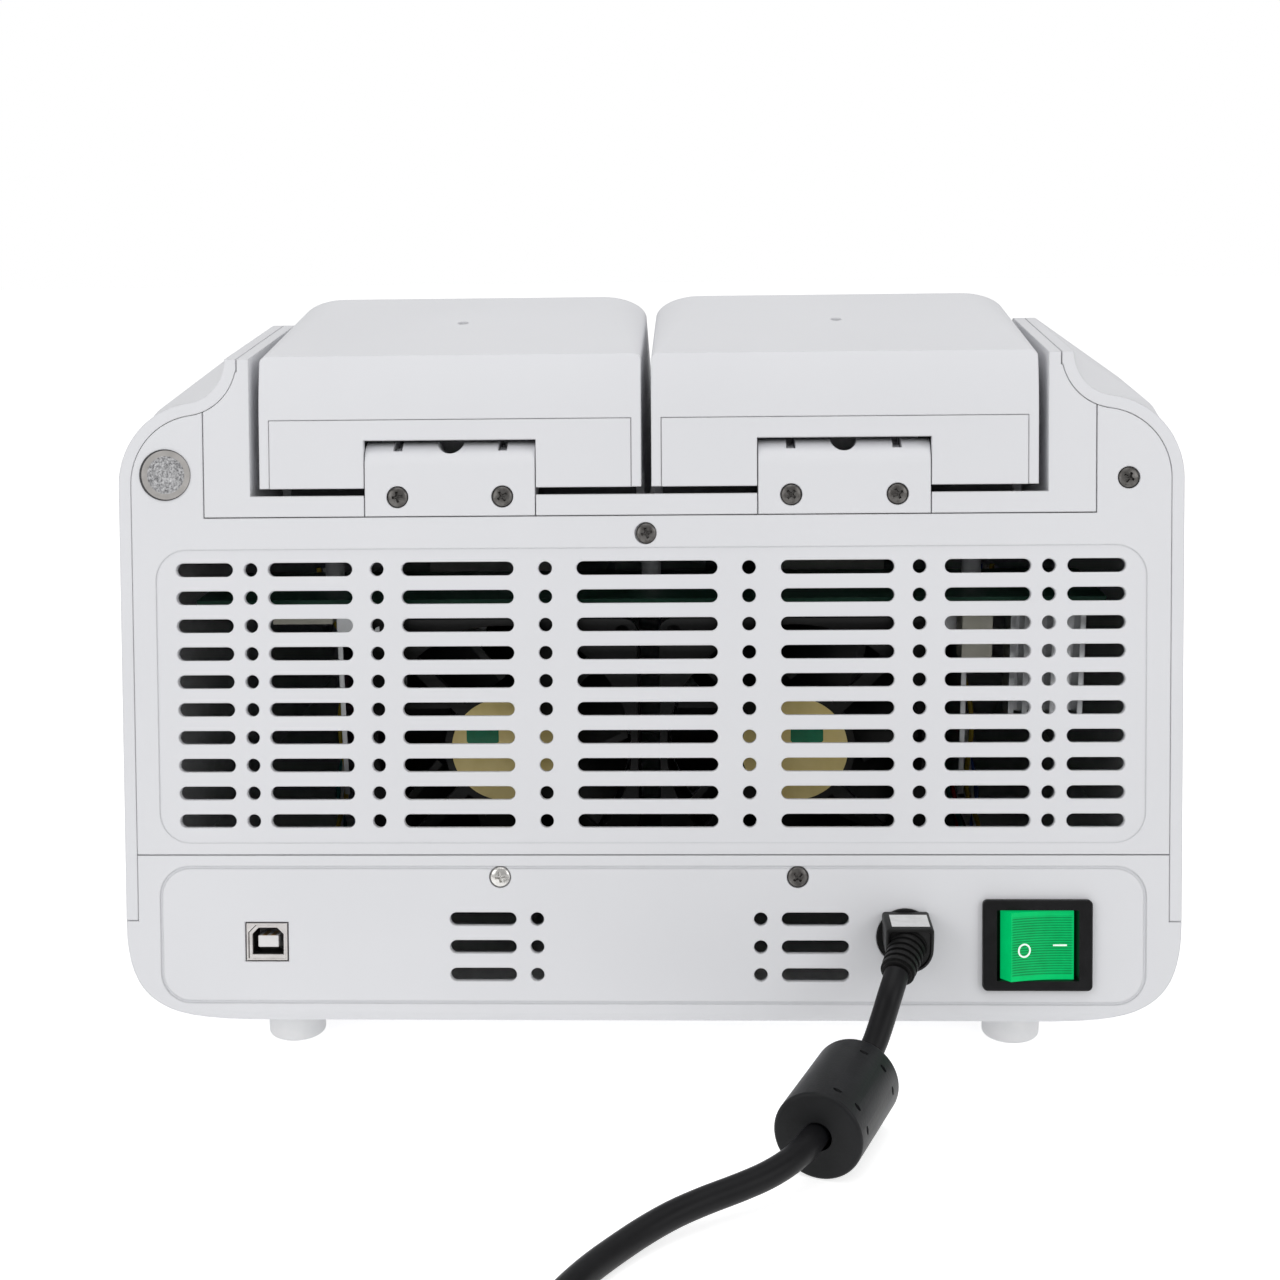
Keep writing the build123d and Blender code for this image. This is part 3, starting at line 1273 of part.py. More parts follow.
def cord_coil():
    """Outer shape of the wound spare length, on the bench."""
    x, y = COIL_MIDDLE
    high = 2 * CORD_R * COIL_LAYERS
    ring = Cylinder(COIL_R + COIL_WIDE / 2, high) - Cylinder(COIL_R - COIL_WIDE / 2, high + 1)
    ring = fillet(ring.edges().filter_by(GeomType.CIRCLE), CORD_R * 0.8)
    return Pos(x, y, high / 2) * ring


def power_adapter():
    """External adapter at the far end of the lead, with its mains inlet."""
    x, y = ADAPTER_MIDDLE
    wide, deep, high = ADAPTER_SIZE
    brick = Box(wide, deep, high)
    brick = fillet(brick.edges().filter_by(Axis.Z), ADAPTER_ROUND)
    brick = fillet(brick.faces().sort_by(Axis.Z)[-1].edges() + brick.faces().sort_by(Axis.Z)[0].edges(), 2)
    inlet = Pos(-wide / 2, 0, 0) * Box(2 * INLET[2], INLET[0], INLET[1])
    sleeve = Cone(ADAPTER_SLEEVE[0], ADAPTER_SLEEVE[1], ADAPTER_SLEEVE[2])
    exit_x, exit_y, exit_z = ADAPTER_LEAD[0]
    sleeve = Pos(exit_x - ADAPTER_SLEEVE[2] / 2, exit_y, exit_z) * Rot(0, 90, 0) * sleeve
    return Pos(x, y, high / 2) * (brick - inlet) + sleeve


def adapter_lead():
    """Last stretch of the lead, from the coil to the adapter."""
    return tube_along(ADAPTER_LEAD, CORD_R, route_bends(ADAPTER_LEAD))


def save(node, shape):
    """Write one piece to its own file."""
    export_step(shape, f"parts/{node}.step")


def main():
    """Build every piece and write it out."""
    os.makedirs("parts", exist_ok=True)
    save("base_tray", base_tray())
    save("rear_grille_panel", rear_grille_panel())
    save("top_cover", top_cover())
    save("front_cover", front_cover())
    save("status_lights", status_lights())
    save("feet", feet())
    save("seal_disc", seal_disc())
    save("cover_screws", cover_screws())
    save("fan_board", fan_board())
    save("board_connectors", board_parts())
    save("board_cooler", board_cooler())
    save("main_board", main_board())
    save("usb_socket", usb_socket())
    save("switch_bezel", switch_bezel())
    save("switch_rocker", switch_rocker())
    save("dc_jack", dc_jack())
    save("dc_plug", dc_plug())
    save("strain_relief", strain_relief())
    save("supply_cord", supply_cord())
    save("ferrite_bead", ferrite_bead())
    save("cord_coil", cord_coil())
    save("power_adapter", power_adapter())
    save("adapter_lead", adapter_lead())
    module = {
        "lid_shell": lid_shell(),
        "lid_rear_cover": lid_rear_cover(),
        "lid_tray": lid_tray(),
        "lid_hinge_arms": lid_hinge_arms(),
        "hinge_bracket": hinge_bracket() - screw_holes_of_module(),
        "hinge_pin": hinge_pin(),
        "heated_plate": heated_plate(),
        "optics_head": optics_head(),
        "plate_springs": plate_springs(),
        "sample_block": sample_block(),
        "peltier": peltier(),
        "heat_sink": heat_sink(),
    }
    fan = {"fan_frame": fan_frame(), "fan_rotor": fan_rotor(), "fan_label": fan_label()}
    for name, side in SIDES.items():
        save(f"{name}_side_cover", side_cover(side))
        save(f"{name}_wires", wire_bundle(side, WIRE_X, WIRE_Y, WIRE_COUNT))
        for node, shape in module.items():
            save(f"{name}_{node}", Pos(side * LID_MID_X, 0, 0) * shape)
        for node, shape in fan.items():
            save(f"{name}_{node}", Pos(side * FAN_X, 0, 0) * shape)


def screw_holes_of_module():
    """Counterbores of one bracket's two screws, at the module's own middle."""
    holes = []
    for x in (-HINGE_SCREW_X, HINGE_SCREW_X):
        holes.append(rear_cylinder(x, HINGE_SCREW_S, (-1, SCREW_SINK), SCREW_HEAD_R + SCREW_CLEAR))
        holes.append(rear_cylinder(x, HINGE_SCREW_S, (0, SCREW_LENGTH + 1), SCREW_SHANK_R + SCREW_CLEAR))
    return Part() + holes


if __name__ == "__main__":
    main()
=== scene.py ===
"""Real-time PCR machine seen from behind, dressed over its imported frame."""

from math import cos, pi, radians, sin

import bmesh
import bpy
from mathutils import Matrix, Vector


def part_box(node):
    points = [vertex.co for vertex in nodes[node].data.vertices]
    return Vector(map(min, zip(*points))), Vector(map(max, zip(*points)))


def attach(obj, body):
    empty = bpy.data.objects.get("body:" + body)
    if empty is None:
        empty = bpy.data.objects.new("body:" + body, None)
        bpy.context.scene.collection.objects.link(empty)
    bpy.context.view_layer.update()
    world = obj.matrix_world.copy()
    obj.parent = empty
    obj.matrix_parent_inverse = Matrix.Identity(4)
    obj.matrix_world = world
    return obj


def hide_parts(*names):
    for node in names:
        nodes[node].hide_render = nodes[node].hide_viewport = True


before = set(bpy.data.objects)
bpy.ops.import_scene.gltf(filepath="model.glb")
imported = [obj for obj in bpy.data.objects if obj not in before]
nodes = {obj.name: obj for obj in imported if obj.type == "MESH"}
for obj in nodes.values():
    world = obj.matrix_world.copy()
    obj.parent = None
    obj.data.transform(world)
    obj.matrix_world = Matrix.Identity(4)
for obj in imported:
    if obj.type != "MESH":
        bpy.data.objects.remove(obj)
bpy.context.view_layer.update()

# Camera
# It stands behind the machine, a little to one side and above, and looks down 13 degrees.
# The lens and the place come from a fit of the housing's corners in the photograph.
FOCAL_PIXELS = 1850.0
FRAME_PIXELS = 1280.0
SENSOR = 36.0
ROLL = radians(0.72)
CAMERA_AT = (-0.01692, 0.65529, 0.2433)
SIGHT = (0.03537, -0.97373, -0.22495)
sight = Vector(SIGHT).normalized()
level = sight.cross(Vector((0, 0, 1))).normalized()
above = level.cross(sight)
across = cos(ROLL) * level - sin(ROLL) * above
upright = sin(ROLL) * level + cos(ROLL) * above
lens = bpy.data.cameras.new("camera")
lens.sensor_width = SENSOR
lens.lens = FOCAL_PIXELS / FRAME_PIXELS * SENSOR
lens.clip_start = 0.01
lens.clip_end = 50
camera = bpy.data.objects.new("camera", lens)
bpy.context.scene.collection.objects.link(camera)
turn = Matrix((across, upright, -sight)).transposed().to_4x4()
camera.matrix_world = Matrix.Translation(CAMERA_AT) @ turn
bpy.context.scene.camera = camera

# Supply lead
# A round black lead, 7 mm thick, from the plug's relief through the ferrite to the bench.
# Its spare length lies in a neat coil past the view and ends in the adapter's sleeve.
LEAD_D = 0.007
LEAD_ROUTE = [
    (-0.0700, 0.1700, 0.0350),
    (-0.0680, 0.1750, 0.0320),
    (-0.0658, 0.1780, 0.0260),
    (-0.0625, 0.1830, 0.0185),
    (-0.0570, 0.1905, 0.0132),
    (-0.0510, 0.2050, 0.0120),
    (-0.0444, 0.2208, 0.0120),
    (-0.0395, 0.2283, 0.0105),
    (-0.0325, 0.2344, 0.0089),
    (-0.0244, 0.2390, 0.0077),
    (-0.0161, 0.2432, 0.0067),
    (-0.0082, 0.2480, 0.0056),
    (-0.0011, 0.2539, 0.0044),
    (0.0051, 0.2607, 0.0036),
    (0.0105, 0.2682, 0.0035),
    (0.0151, 0.2762, 0.0035),
    (0.0189, 0.2847, 0.0035),
    (0.0218, 0.2935, 0.0035),
    (0.0233, 0.3028, 0.0035),
    (0.0240, 0.3120, 0.0035),
    (0.0243, 0.3210, 0.0035),
    (0.0241, 0.3300, 0.0035),
]
LEAD_END = [(-0.0230, 0.3894, 0.0110), (-0.0350, 0.3936, 0.0117), (-0.0480, 0.3950, 0.0120)]
COIL_AT = (-0.01975, 0.344)
COIL_LANE = (0.0367, 0.0437)
COIL_LAYER = (0.0035, 0.0105)
COIL_POINTS = 16
COIL_TURNS = 3.25
COIL_INWARD, COIL_OUTWARD, COIL_CLIMB = (290, 345), (950, 995), (620, 680)


def eased(angle, start, end):
    """0 before start, 1 after end, and smooth between them."""
    t = min(max((angle - start) / (end - start), 0), 1)
    return t * t * (3 - 2 * t)


def coil_point(angle):
    """Point of the coil: out, in, up on itself, then out again."""
    inner = eased(angle, *COIL_INWARD) - eased(angle, *COIL_OUTWARD)
    upper = eased(angle, *COIL_CLIMB)
    swing = 1 / cos(pi / COIL_POINTS)
    reach = (COIL_LANE[1] + (COIL_LANE[0] - COIL_LANE[1]) * inner) * swing
    high = COIL_LAYER[0] + (COIL_LAYER[1] - COIL_LAYER[0]) * upper
    turned = radians(angle)
    return COIL_AT[0] + reach * cos(turned), COIL_AT[1] + reach * sin(turned), high


def curve_piece(name, points, radius, material, smooth=6):
    """Round bar along one smooth line through the control points."""
    line = bpy.data.curves.new(name, "CURVE")
    line.dimensions = "3D"
    line.bevel_depth = radius
    line.bevel_resolution = smooth
    line.resolution_u = 8
    line.use_fill_caps = True
    spline = line.splines.new("NURBS")
    spline.points.add(len(points) - 1)
    for held, place in zip(spline.points, points):
        held.co = (*place, 1)
    spline.order_u = 3
    spline.use_endpoint_u = True
    line.materials.append(material)
    piece = bpy.data.objects.new(name, line)
    bpy.context.scene.collection.objects.link(piece)
    return piece


def node_at(tree, kind, **values):
    """One shader node with its settings."""
    made = tree.nodes.new(kind)
    for key, value in values.items():
        setattr(made, key, value)
    return made


def finish(
    name, colour, second, scale, rough, spread, grain, depth, metal=0.0, edge=0.0, shine=0.5
):
    """Surface with a cloudy change of colour and gloss, and a fine grain in relief."""
    material = bpy.data.materials.new(name)
    material.use_nodes = True
    tree = material.node_tree
    shader = tree.nodes["Principled BSDF"]
    shader.inputs["Metallic"].default_value = metal
    shader.inputs["Specular IOR Level"].default_value = shine
    place = node_at(tree, "ShaderNodeTexCoord")
    cloud = node_at(tree, "ShaderNodeTexNoise")
    cloud.inputs["Scale"].default_value = scale
    cloud.inputs["Detail"].default_value = 3
    ramp = node_at(tree, "ShaderNodeValToRGB")
    ramp.color_ramp.elements[0].position = 0.3
    ramp.color_ramp.elements[1].position = 0.7
    ramp.color_ramp.elements[0].color = (*colour, 1)
    ramp.color_ramp.elements[1].color = (*second, 1)
    gloss = node_at(tree, "ShaderNodeMapRange")
    gloss.inputs["To Min"].default_value = rough - spread
    gloss.inputs["To Max"].default_value = rough + spread
    fine = node_at(tree, "ShaderNodeTexNoise")
    fine.inputs["Scale"].default_value = grain
    fine.inputs["Detail"].default_value = 2
    relief = node_at(tree, "ShaderNodeBump")
    relief.inputs["Strength"].default_value = depth
    relief.inputs["Distance"].default_value = 0.0004
    join = tree.links.new
    join(place.outputs["Object"], cloud.inputs["Vector"])
    join(place.outputs["Object"], fine.inputs["Vector"])
    join(cloud.outputs["Fac"], ramp.inputs["Fac"])
    join(ramp.outputs["Color"], shader.inputs["Base Color"])
    join(cloud.outputs["Fac"], gloss.inputs["Value"])
    join(gloss.outputs["Result"], shader.inputs["Roughness"])
    join(fine.outputs["Fac"], relief.inputs["Height"])
    join(relief.outputs["Normal"], shader.inputs["Normal"])
    if edge:
        rounded = node_at(tree, "ShaderNodeBevel")
        rounded.inputs["Radius"].default_value = edge
        join(rounded.outputs["Normal"], relief.inputs["Normal"])
    return material


def wear(material, *names):
    """Put a finish on CAD nodes."""
    for name in names:
        mesh = nodes[name].data
        mesh.materials.clear()
        mesh.materials.append(material)


jacket = finish(
    "lead_jacket", (0.005, 0.005, 0.006), (0.009, 0.009, 0.01),
    scale=90, rough=0.4, spread=0.06, grain=1500, depth=0.04, shine=0.16,
)
COIL_STEP = 360 / COIL_POINTS
winding = [coil_point(COIL_STEP * k) for k in range(int(COIL_TURNS * COIL_POINTS) + 1)]
lead = curve_piece("supply_lead", LEAD_ROUTE + winding + LEAD_END, LEAD_D / 2, jacket)
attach(lead, "chassis")
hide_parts("supply_cord", "cord_coil", "adapter_lead")

# Supply plug
# A moulded black plug with a flat top and a round belly, in the round socket of the rear face.
# It lies level while the face leans, so its back end is cut to the lean, and a rim rounds its end.
LEAN = radians(10.5)
REAR_FOOT = (0.15269, 0.011)


def piece_of(name, mesh, material, body, smooth=0.0):
    """Object for a finished mesh, riding on its body."""
    mesh.materials.clear()
    mesh.materials.append(material)
    if smooth:
        mesh.shade_smooth()
        mesh.set_sharp_from_angle(angle=radians(smooth))
    piece = bpy.data.objects.new(name, mesh)
    bpy.context.scene.collection.objects.link(piece)
    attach(piece, body)
    return piece


PLUG_X, PLUG_MIDDLE, PLUG_HALF, PLUG_FLAT = -0.0746, 0.0380, 0.0068, 0.0066
PLUG_ROUND, PLUG_END, PLUG_OFF_FACE = 0.0009, 0.1610, 0.0009
PLUG_RIM = ((0.0007, 1.0), (0.0002, 0.98), (0, 0.94), (0, 0.87), (0.0006, 0.85))
PLUG_TURN, CORNER_TURN = 12, 30
belly_turns = [radians(a) for a in range(180, 361, PLUG_TURN)]
plug_outline = [(PLUG_HALF * cos(a), PLUG_HALF * sin(a)) for a in belly_turns]
for side_way, first in ((1, 0), (-1, 90)):
    centre = (side_way * (PLUG_HALF - PLUG_ROUND), PLUG_FLAT - PLUG_ROUND)
    for a in range(first, first + 91, CORNER_TURN):
        turned = Vector((cos(radians(a)), sin(radians(a)))) * PLUG_ROUND
        plug_outline.append((centre[0] + turned.x, centre[1] + turned.y))


def face_depth(high):
    """How far back the leaning face lies at a height, a little in front of the socket's rim."""
    up = (high - REAR_FOOT[1] - PLUG_OFF_FACE * sin(LEAN)) / cos(LEAN)
    return REAR_FOOT[0] - up * sin(LEAN) + PLUG_OFF_FACE * cos(LEAN)


form = bmesh.new()
back = [(PLUG_X + x, face_depth(PLUG_MIDDLE + z), PLUG_MIDDLE + z) for x, z in plug_outline]
rings = [[form.verts.new(place) for place in back]]
for short, drawn in PLUG_RIM:
    ring = [
        (PLUG_X + x * drawn, PLUG_END - short, PLUG_MIDDLE + z * drawn) for x, z in plug_outline
    ]
    rings.append([form.verts.new(place) for place in ring])
for near, far in zip(rings, rings[1:]):
    for k in range(len(near)):
        after = (k + 1) % len(near)
        form.faces.new((near[k], near[after], far[after], far[k]))
form.faces.new(rings[0])
form.faces.new(rings[-1])
bmesh.ops.recalc_face_normals(form, faces=form.faces)
plug_mesh = bpy.data.meshes.new("supply_plug")
form.to_mesh(plug_mesh)
form.free()
moulded_black = finish(
    "moulded_black", (0.006, 0.006, 0.006), (0.011, 0.011, 0.011),
    scale=120, rough=0.36, spread=0.07, grain=1100, depth=0.08, edge=0.0003, shine=0.18,
)
plug = piece_of("supply_plug", plug_mesh, moulded_black, "chassis", 40)
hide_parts("dc_plug")

# Plug sticker
# A blank pale paper label on the flat top of the plug, a little to the view's right of
# its middle. It is glued on and travels with the plug.


def lay_on(mesh, place):
    """Move a mesh made in millimetres to its place in metres."""
    mesh.transform(place @ Matrix.Scale(0.001, 4))
    mesh.update()


def prism(name, outline, low, high, top_scale=1.0):
    """Closed mesh of a flat outline between two heights, its top drawn in or out."""
    form = bmesh.new()
    below = [form.verts.new((x, y, low)) for x, y in outline]
    over = [form.verts.new((x * top_scale, y * top_scale, high)) for x, y in outline]
    form.faces.new(list(reversed(below)))
    form.faces.new(over)
    count = len(outline)
    for k in range(count):
        after = (k + 1) % count
        form.faces.new((below[k], below[after], over[after], over[k]))
    bmesh.ops.recalc_face_normals(form, faces=form.faces)
    mesh = bpy.data.meshes.new(name)
    form.to_mesh(mesh)
    form.free()
    return mesh


sticker_paper = finish(
    "sticker_paper", (0.6, 0.6, 0.6), (0.7, 0.7, 0.7),
    scale=500, rough=0.45, spread=0.05, grain=900, depth=0.03,
)
STICKER_HALF, STICKER_RIGHT, STICKER_BACK = (5.4, 4.5), 0.0004, 0.0002
FILM_UNDER, STICKER_THICK = -0.05, 0.07
SQUARE = [(-1, -1), (1, -1), (1, 1), (-1, 1)]
sticker_outline = [(x * STICKER_HALF[0], y * STICKER_HALF[1]) for x, y in SQUARE]
sticker = prism("sticker", sticker_outline, FILM_UNDER, STICKER_THICK)
plug_back = face_depth(PLUG_MIDDLE + PLUG_FLAT)
sticker_y = (plug_back + PLUG_END) / 2 + STICKER_BACK
sticker_x = PLUG_X - STICKER_RIGHT
lay_on(sticker, Matrix.Translation((sticker_x, sticker_y, PLUG_MIDDLE + PLUG_FLAT)))
piece_of("plug_sticker", sticker, sticker_paper, "chassis")

# Ferrite
# The lead's interference filter in its black moulded skin, with two rings of small pits
# where the core was held in the mould. It lies on the bench, on the lead's own line.


def lathe(name, profile, steps=48):
    """Closed mesh turned about z from (radius, height) pairs, both ends on the axis."""
    form = bmesh.new()
    rings = []
    for radius, high in profile:
        if radius == 0:
            rings.append([form.verts.new((0, 0, high))])
            continue
        turns = [2 * pi * k / steps for k in range(steps)]
        rings.append([form.verts.new((radius * cos(a), radius * sin(a), high)) for a in turns])
    for low, high in zip(rings, rings[1:]):
        for k in range(steps):
            after = (k + 1) % steps
            corners = [low[k % len(low)], low[after % len(low)]]
            corners += [high[after % len(high)], high[k % len(high)]]
            form.faces.new(list(dict.fromkeys(corners)))
    bmesh.ops.recalc_face_normals(form, faces=form.faces)
    mesh = bpy.data.meshes.new(name)
    form.to_mesh(mesh)
    form.free()
    return mesh


def cut_with(mesh, *cutters):
    """Mesh with the cutters taken away."""
    holder = bpy.data.objects.new("cutting", mesh)
    bpy.context.scene.collection.objects.link(holder)
    tools = []
    for cutter in cutters:
        tool = bpy.data.objects.new("cutter", cutter)
        bpy.context.scene.collection.objects.link(tool)
        taken = holder.modifiers.new("taken", "BOOLEAN")
        taken.operation = "DIFFERENCE"
        taken.solver = "EXACT"
        taken.object = tool
        tools.append(tool)
    bpy.context.view_layer.update()
    shaped = holder.evaluated_get(bpy.context.evaluated_depsgraph_get())
    result = bpy.data.meshes.new_from_object(shaped)
    for spent in [holder, *tools]:
        bpy.data.objects.remove(spent)
    return result


FERRITE_FROM = Vector((-0.05777, 0.18804, 0.012))
FERRITE_TO = Vector((-0.045, 0.2208, 0.012))
FERRITE_R, FERRITE_HOLE, FERRITE_SOFT = 12.0, 3.9, 1.0
PIT_STEP, PIT_FIRST, PIT_R, PIT_STRETCH = 32, 18, 0.75, 1.7
PIT_FROM_ENDS, PITS_SEEN = (6.5, 5), 3
ferrite_long = (FERRITE_TO - FERRITE_FROM).length * 1000
soft_turns = [radians(a) for a in range(0, 91, 15)]
flat = FERRITE_R - FERRITE_SOFT
near_end = [
    (flat + FERRITE_SOFT * sin(a), FERRITE_SOFT - FERRITE_SOFT * cos(a)) for a in soft_turns
]
far_end = [(radius, ferrite_long - high) for radius, high in reversed(near_end)]
bead = lathe("bead", [(0, 0), *near_end, *far_end, (0, ferrite_long)], 72)
bore_ends = (-1, ferrite_long + 1)
bore_side = [(FERRITE_HOLE, end) for end in bore_ends]
bore = lathe("bore", [(0, bore_ends[0]), *bore_side, (0, bore_ends[1])])
pits = []
for station in (PIT_FROM_ENDS[0], ferrite_long - PIT_FROM_ENDS[1]):
    for k in range(PITS_SEEN):
        pit = lathe("pit", [(0, -PIT_R), (PIT_R, -PIT_R / 2), (PIT_R, PIT_R / 2), (0, PIT_R)], 10)
        turned = Matrix.Rotation(-radians(PIT_FIRST + PIT_STEP * k), 4, "Z")
        stretched = Matrix.Diagonal((1, PIT_STRETCH, 1, 1))
        pit.transform(turned @ Matrix.Translation((FERRITE_R, 0, station)) @ stretched)
        pits.append(pit)
bead = cut_with(bead, bore, *pits)
ferrite_way = (FERRITE_TO - FERRITE_FROM).normalized()
ferrite_up = Vector((0, 0, 1))
ferrite_axes = Matrix((ferrite_up, ferrite_way.cross(ferrite_up), ferrite_way))
ferrite_turn = ferrite_axes.transposed().to_4x4()
lay_on(bead, Matrix.Translation(FERRITE_FROM) @ ferrite_turn)
ferrite_skin = finish(
    "ferrite_skin", (0.009, 0.0095, 0.01), (0.014, 0.0145, 0.016),
    scale=110, rough=0.42, spread=0.05, grain=1400, depth=0.1, shine=0.18,
)
ferrite = piece_of("supply_ferrite", bead, ferrite_skin, "chassis", 35)
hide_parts("ferrite_bead")

# Relief and adapter
# The ribbed rubber sleeve where the lead leaves the plug, and the external adapter past the
# view with its textured black case.
relief_rubber = finish(
    "relief_rubber", (0.006, 0.006, 0.006), (0.01, 0.01, 0.01),
    scale=150, rough=0.46, spread=0.06, grain=1300, depth=0.1, edge=0.0002, shine=0.16,
)
adapter_skin = finish(
    "adapter_skin", (0.009, 0.009, 0.01), (0.014, 0.014, 0.015),
    scale=90, rough=0.5, spread=0.06, grain=700, depth=0.25, edge=0.0004, shine=0.3,
)
wear(relief_rubber, "strain_relief")
wear(adapter_skin, "power_adapter")

# Housing
# Light grey moulded covers with a very fine even texture and soft edges at every seam.
# The rear panel, apron, ledges, side covers, front slope and base are separate mouldings.
SHELL_EDGE = 0.0006
shell = finish(
    "shell_moulding", (0.75, 0.755, 0.78), (0.77, 0.775, 0.8),
    scale=18, rough=0.42, spread=0.04, grain=2600, depth=0.03, edge=SHELL_EDGE,
)
wear(shell, "base_tray", "rear_grille_panel", "top_cover", "front_cover")
SIDED_COVERS = ("side_cover", "lid_shell", "lid_rear_cover", "lid_hinge_arms", "hinge_bracket")
wear(shell, *[f"{side}_{part}" for side in ("right", "left") for part in SIDED_COVERS])

# Cover screws
# Dark nickel Phillips screws, 6 mm across the head, each a little below its seat's rim.
# The lower one at the left of the view is bright steel, as if it had been replaced.
# Each is square to the rear face, which leans, at a place given in millimetres.


def on_face(x, s, out=0.0):
    """Frame at a place on the rear face: x to the view's right, y up the face, z outward."""
    out_way = Vector((0, cos(LEAN), sin(LEAN)))
    up_way = Vector((0, -sin(LEAN), cos(LEAN)))
    foot = Vector((x / 1000, REAR_FOOT[0], REAR_FOOT[1]))
    place = foot + up_way * s / 1000 + out_way * out / 1000
    turned = Matrix((Vector((-1, 0, 0)), up_way, out_way)).transposed().to_4x4()
    return Matrix.Translation(place) @ turned


dark_nickel = finish(
    "dark_nickel", (0.085, 0.08, 0.076), (0.15, 0.145, 0.14),
    scale=700, rough=0.33, spread=0.08, grain=3000, depth=0.12, metal=1.0,
)
bright_steel = finish(
    "bright_steel", (0.55, 0.54, 0.52), (0.68, 0.67, 0.65),
    scale=700, rough=0.25, spread=0.06, grain=3000, depth=0.08, metal=1.0,
)
HEAD_R, HEAD_HIGH, SEAT_DEEP = 3.05, 1.7, 1.2
SCREWS = [
    ("panel_middle", 0.0, 144.3, 15),
    ("panel_side", -138.5, 159.4, 62),
    ("left_hinge_outer", -72.45, 155.2, 28),
    ("left_hinge_inner", -41.85, 155.2, 48),
    ("right_hinge_inner", 41.85, 155.2, 35),
    ("right_hinge_outer", 72.45, 155.2, 8),
    ("base_left_of_view", 43.5, 44.0, 10),
    ("base_right_of_view", -43.5, 44.0, 40),
]
head_side = [(0, -0.4), (HEAD_R - 0.1, -0.4), (HEAD_R, 0.1), (HEAD_R, 0.75)]
head_dome = [(2.9, 1.05), (2.5, 1.3), (1.8, 1.52), (1.0, 1.65), (0, HEAD_HIGH)]
ARM_HALF, ARM_DEPTHS, ARM_FLARE = (1.2, 0.28), (0.5, 2.2), 1.5
WELL = [(0, 0.2), (0.25, 0.5), (0.95, 2.2), (0, 2.2)]
for label, x, s, spin in SCREWS:
    head = lathe("head", head_side + head_dome)
    arms = []
    for quarter in (0, 90):
        arm_outline = [(x * ARM_HALF[0], y * ARM_HALF[1]) for x, y in SQUARE]
        arm = prism("arm", arm_outline, *ARM_DEPTHS, ARM_FLARE)
        arm.transform(Matrix.Rotation(radians(spin + quarter), 4, "Z"))
        arms.append(arm)
    well = lathe("well", WELL, 24)
    head = cut_with(head, *arms, well)
    lay_on(head, on_face(x, s, -SEAT_DEEP))
    bright = label == "base_left_of_view"
    screw = piece_of(f"screw_{label}", head, bright_steel if bright else dark_nickel, "chassis", 35)
    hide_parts("cover_screws")

# Seal disc
# A round silver film, 15 mm across: a dark cut edge, a plain pale ring, and a middle with a
# sparkling grain. Ring and grain lie 0.3 mm to the view's right of the edge's middle.
seal_edge = finish(
    "seal_edge", (0.03, 0.03, 0.032), (0.06, 0.06, 0.062),
    scale=900, rough=0.4, spread=0.05, grain=1500, depth=0.05,
)
seal_ring = finish(
    "seal_ring", (0.4, 0.385, 0.37), (0.5, 0.48, 0.465),
    scale=300, rough=0.3, spread=0.06, grain=1500, depth=0.05, metal=0.4,
)
seal_grain = finish(
    "seal_grain", (0.1, 0.1, 0.105), (0.6, 0.6, 0.61),
    scale=1500, rough=0.36, spread=0.12, grain=1700, depth=1.0, metal=0.4,
)
wear(seal_edge, "seal_disc")
SEAL_AT, SEAL_HIGH = (140.3, 162.1), 0.25
SEAL_LAYERS = (("ring", 7.15, 0.03, seal_ring), ("grain", 5.5, 0.06, seal_grain))
for label, radius, thick, film in SEAL_LAYERS:
    disc = lathe("film", [(0, FILM_UNDER), (radius, FILM_UNDER), (radius, thick), (0, thick)], 64)
    lay_on(disc, on_face(*SEAL_AT, SEAL_HIGH))
    piece_of(f"seal_{label}", disc, film, "chassis", 30)

# Data socket
# The nickel shell of the square socket has a near-black sheet behind a chamfered mouth, painted
# shade for the dark inside, with a white tongue and two gold contacts on top of it. All but
# the shell stand 0.3 mm to the view's right of its middle.
nickel = finish(
    "socket_nickel", (0.6, 0.575, 0.56), (0.7, 0.675, 0.66),
    scale=400, rough=0.36, spread=0.05, grain=1500, depth=0.05, metal=0.35, edge=0.0002,
)
wear(nickel, "usb_socket")
USB_AT = (112.3, 24.8)
MOUTH_HALF, MOUTH_CUT, MOUTH_UP = (4.65, 4.0), 1.9, 0.2
SHELL_HALF, SHELL_CUT = (5.5, 4.93), 2.15
USB_TONGUE_HALF, TONGUE_ENDS = (2.9, 1.66), (-8.0, -0.85)
CONTACT_HALF, CONTACT_AT, CONTACT_HIGH, CONTACT_ENDS = 0.6, 1.25, (1.5, 1.8), (-7.5, -1.3)


def socket_outline(half, cut, up=0.0):
    """Outline of the mouth: square below and chamfered above."""
    wide, high = half
    below = [(-wide, up - high), (wide, up - high)]
    above_right = [(wide, up + high - cut), (wide - cut, up + high)]
    above_left = [(cut - wide, up + high), (-wide, up + high - cut)]
    return below + above_right + above_left


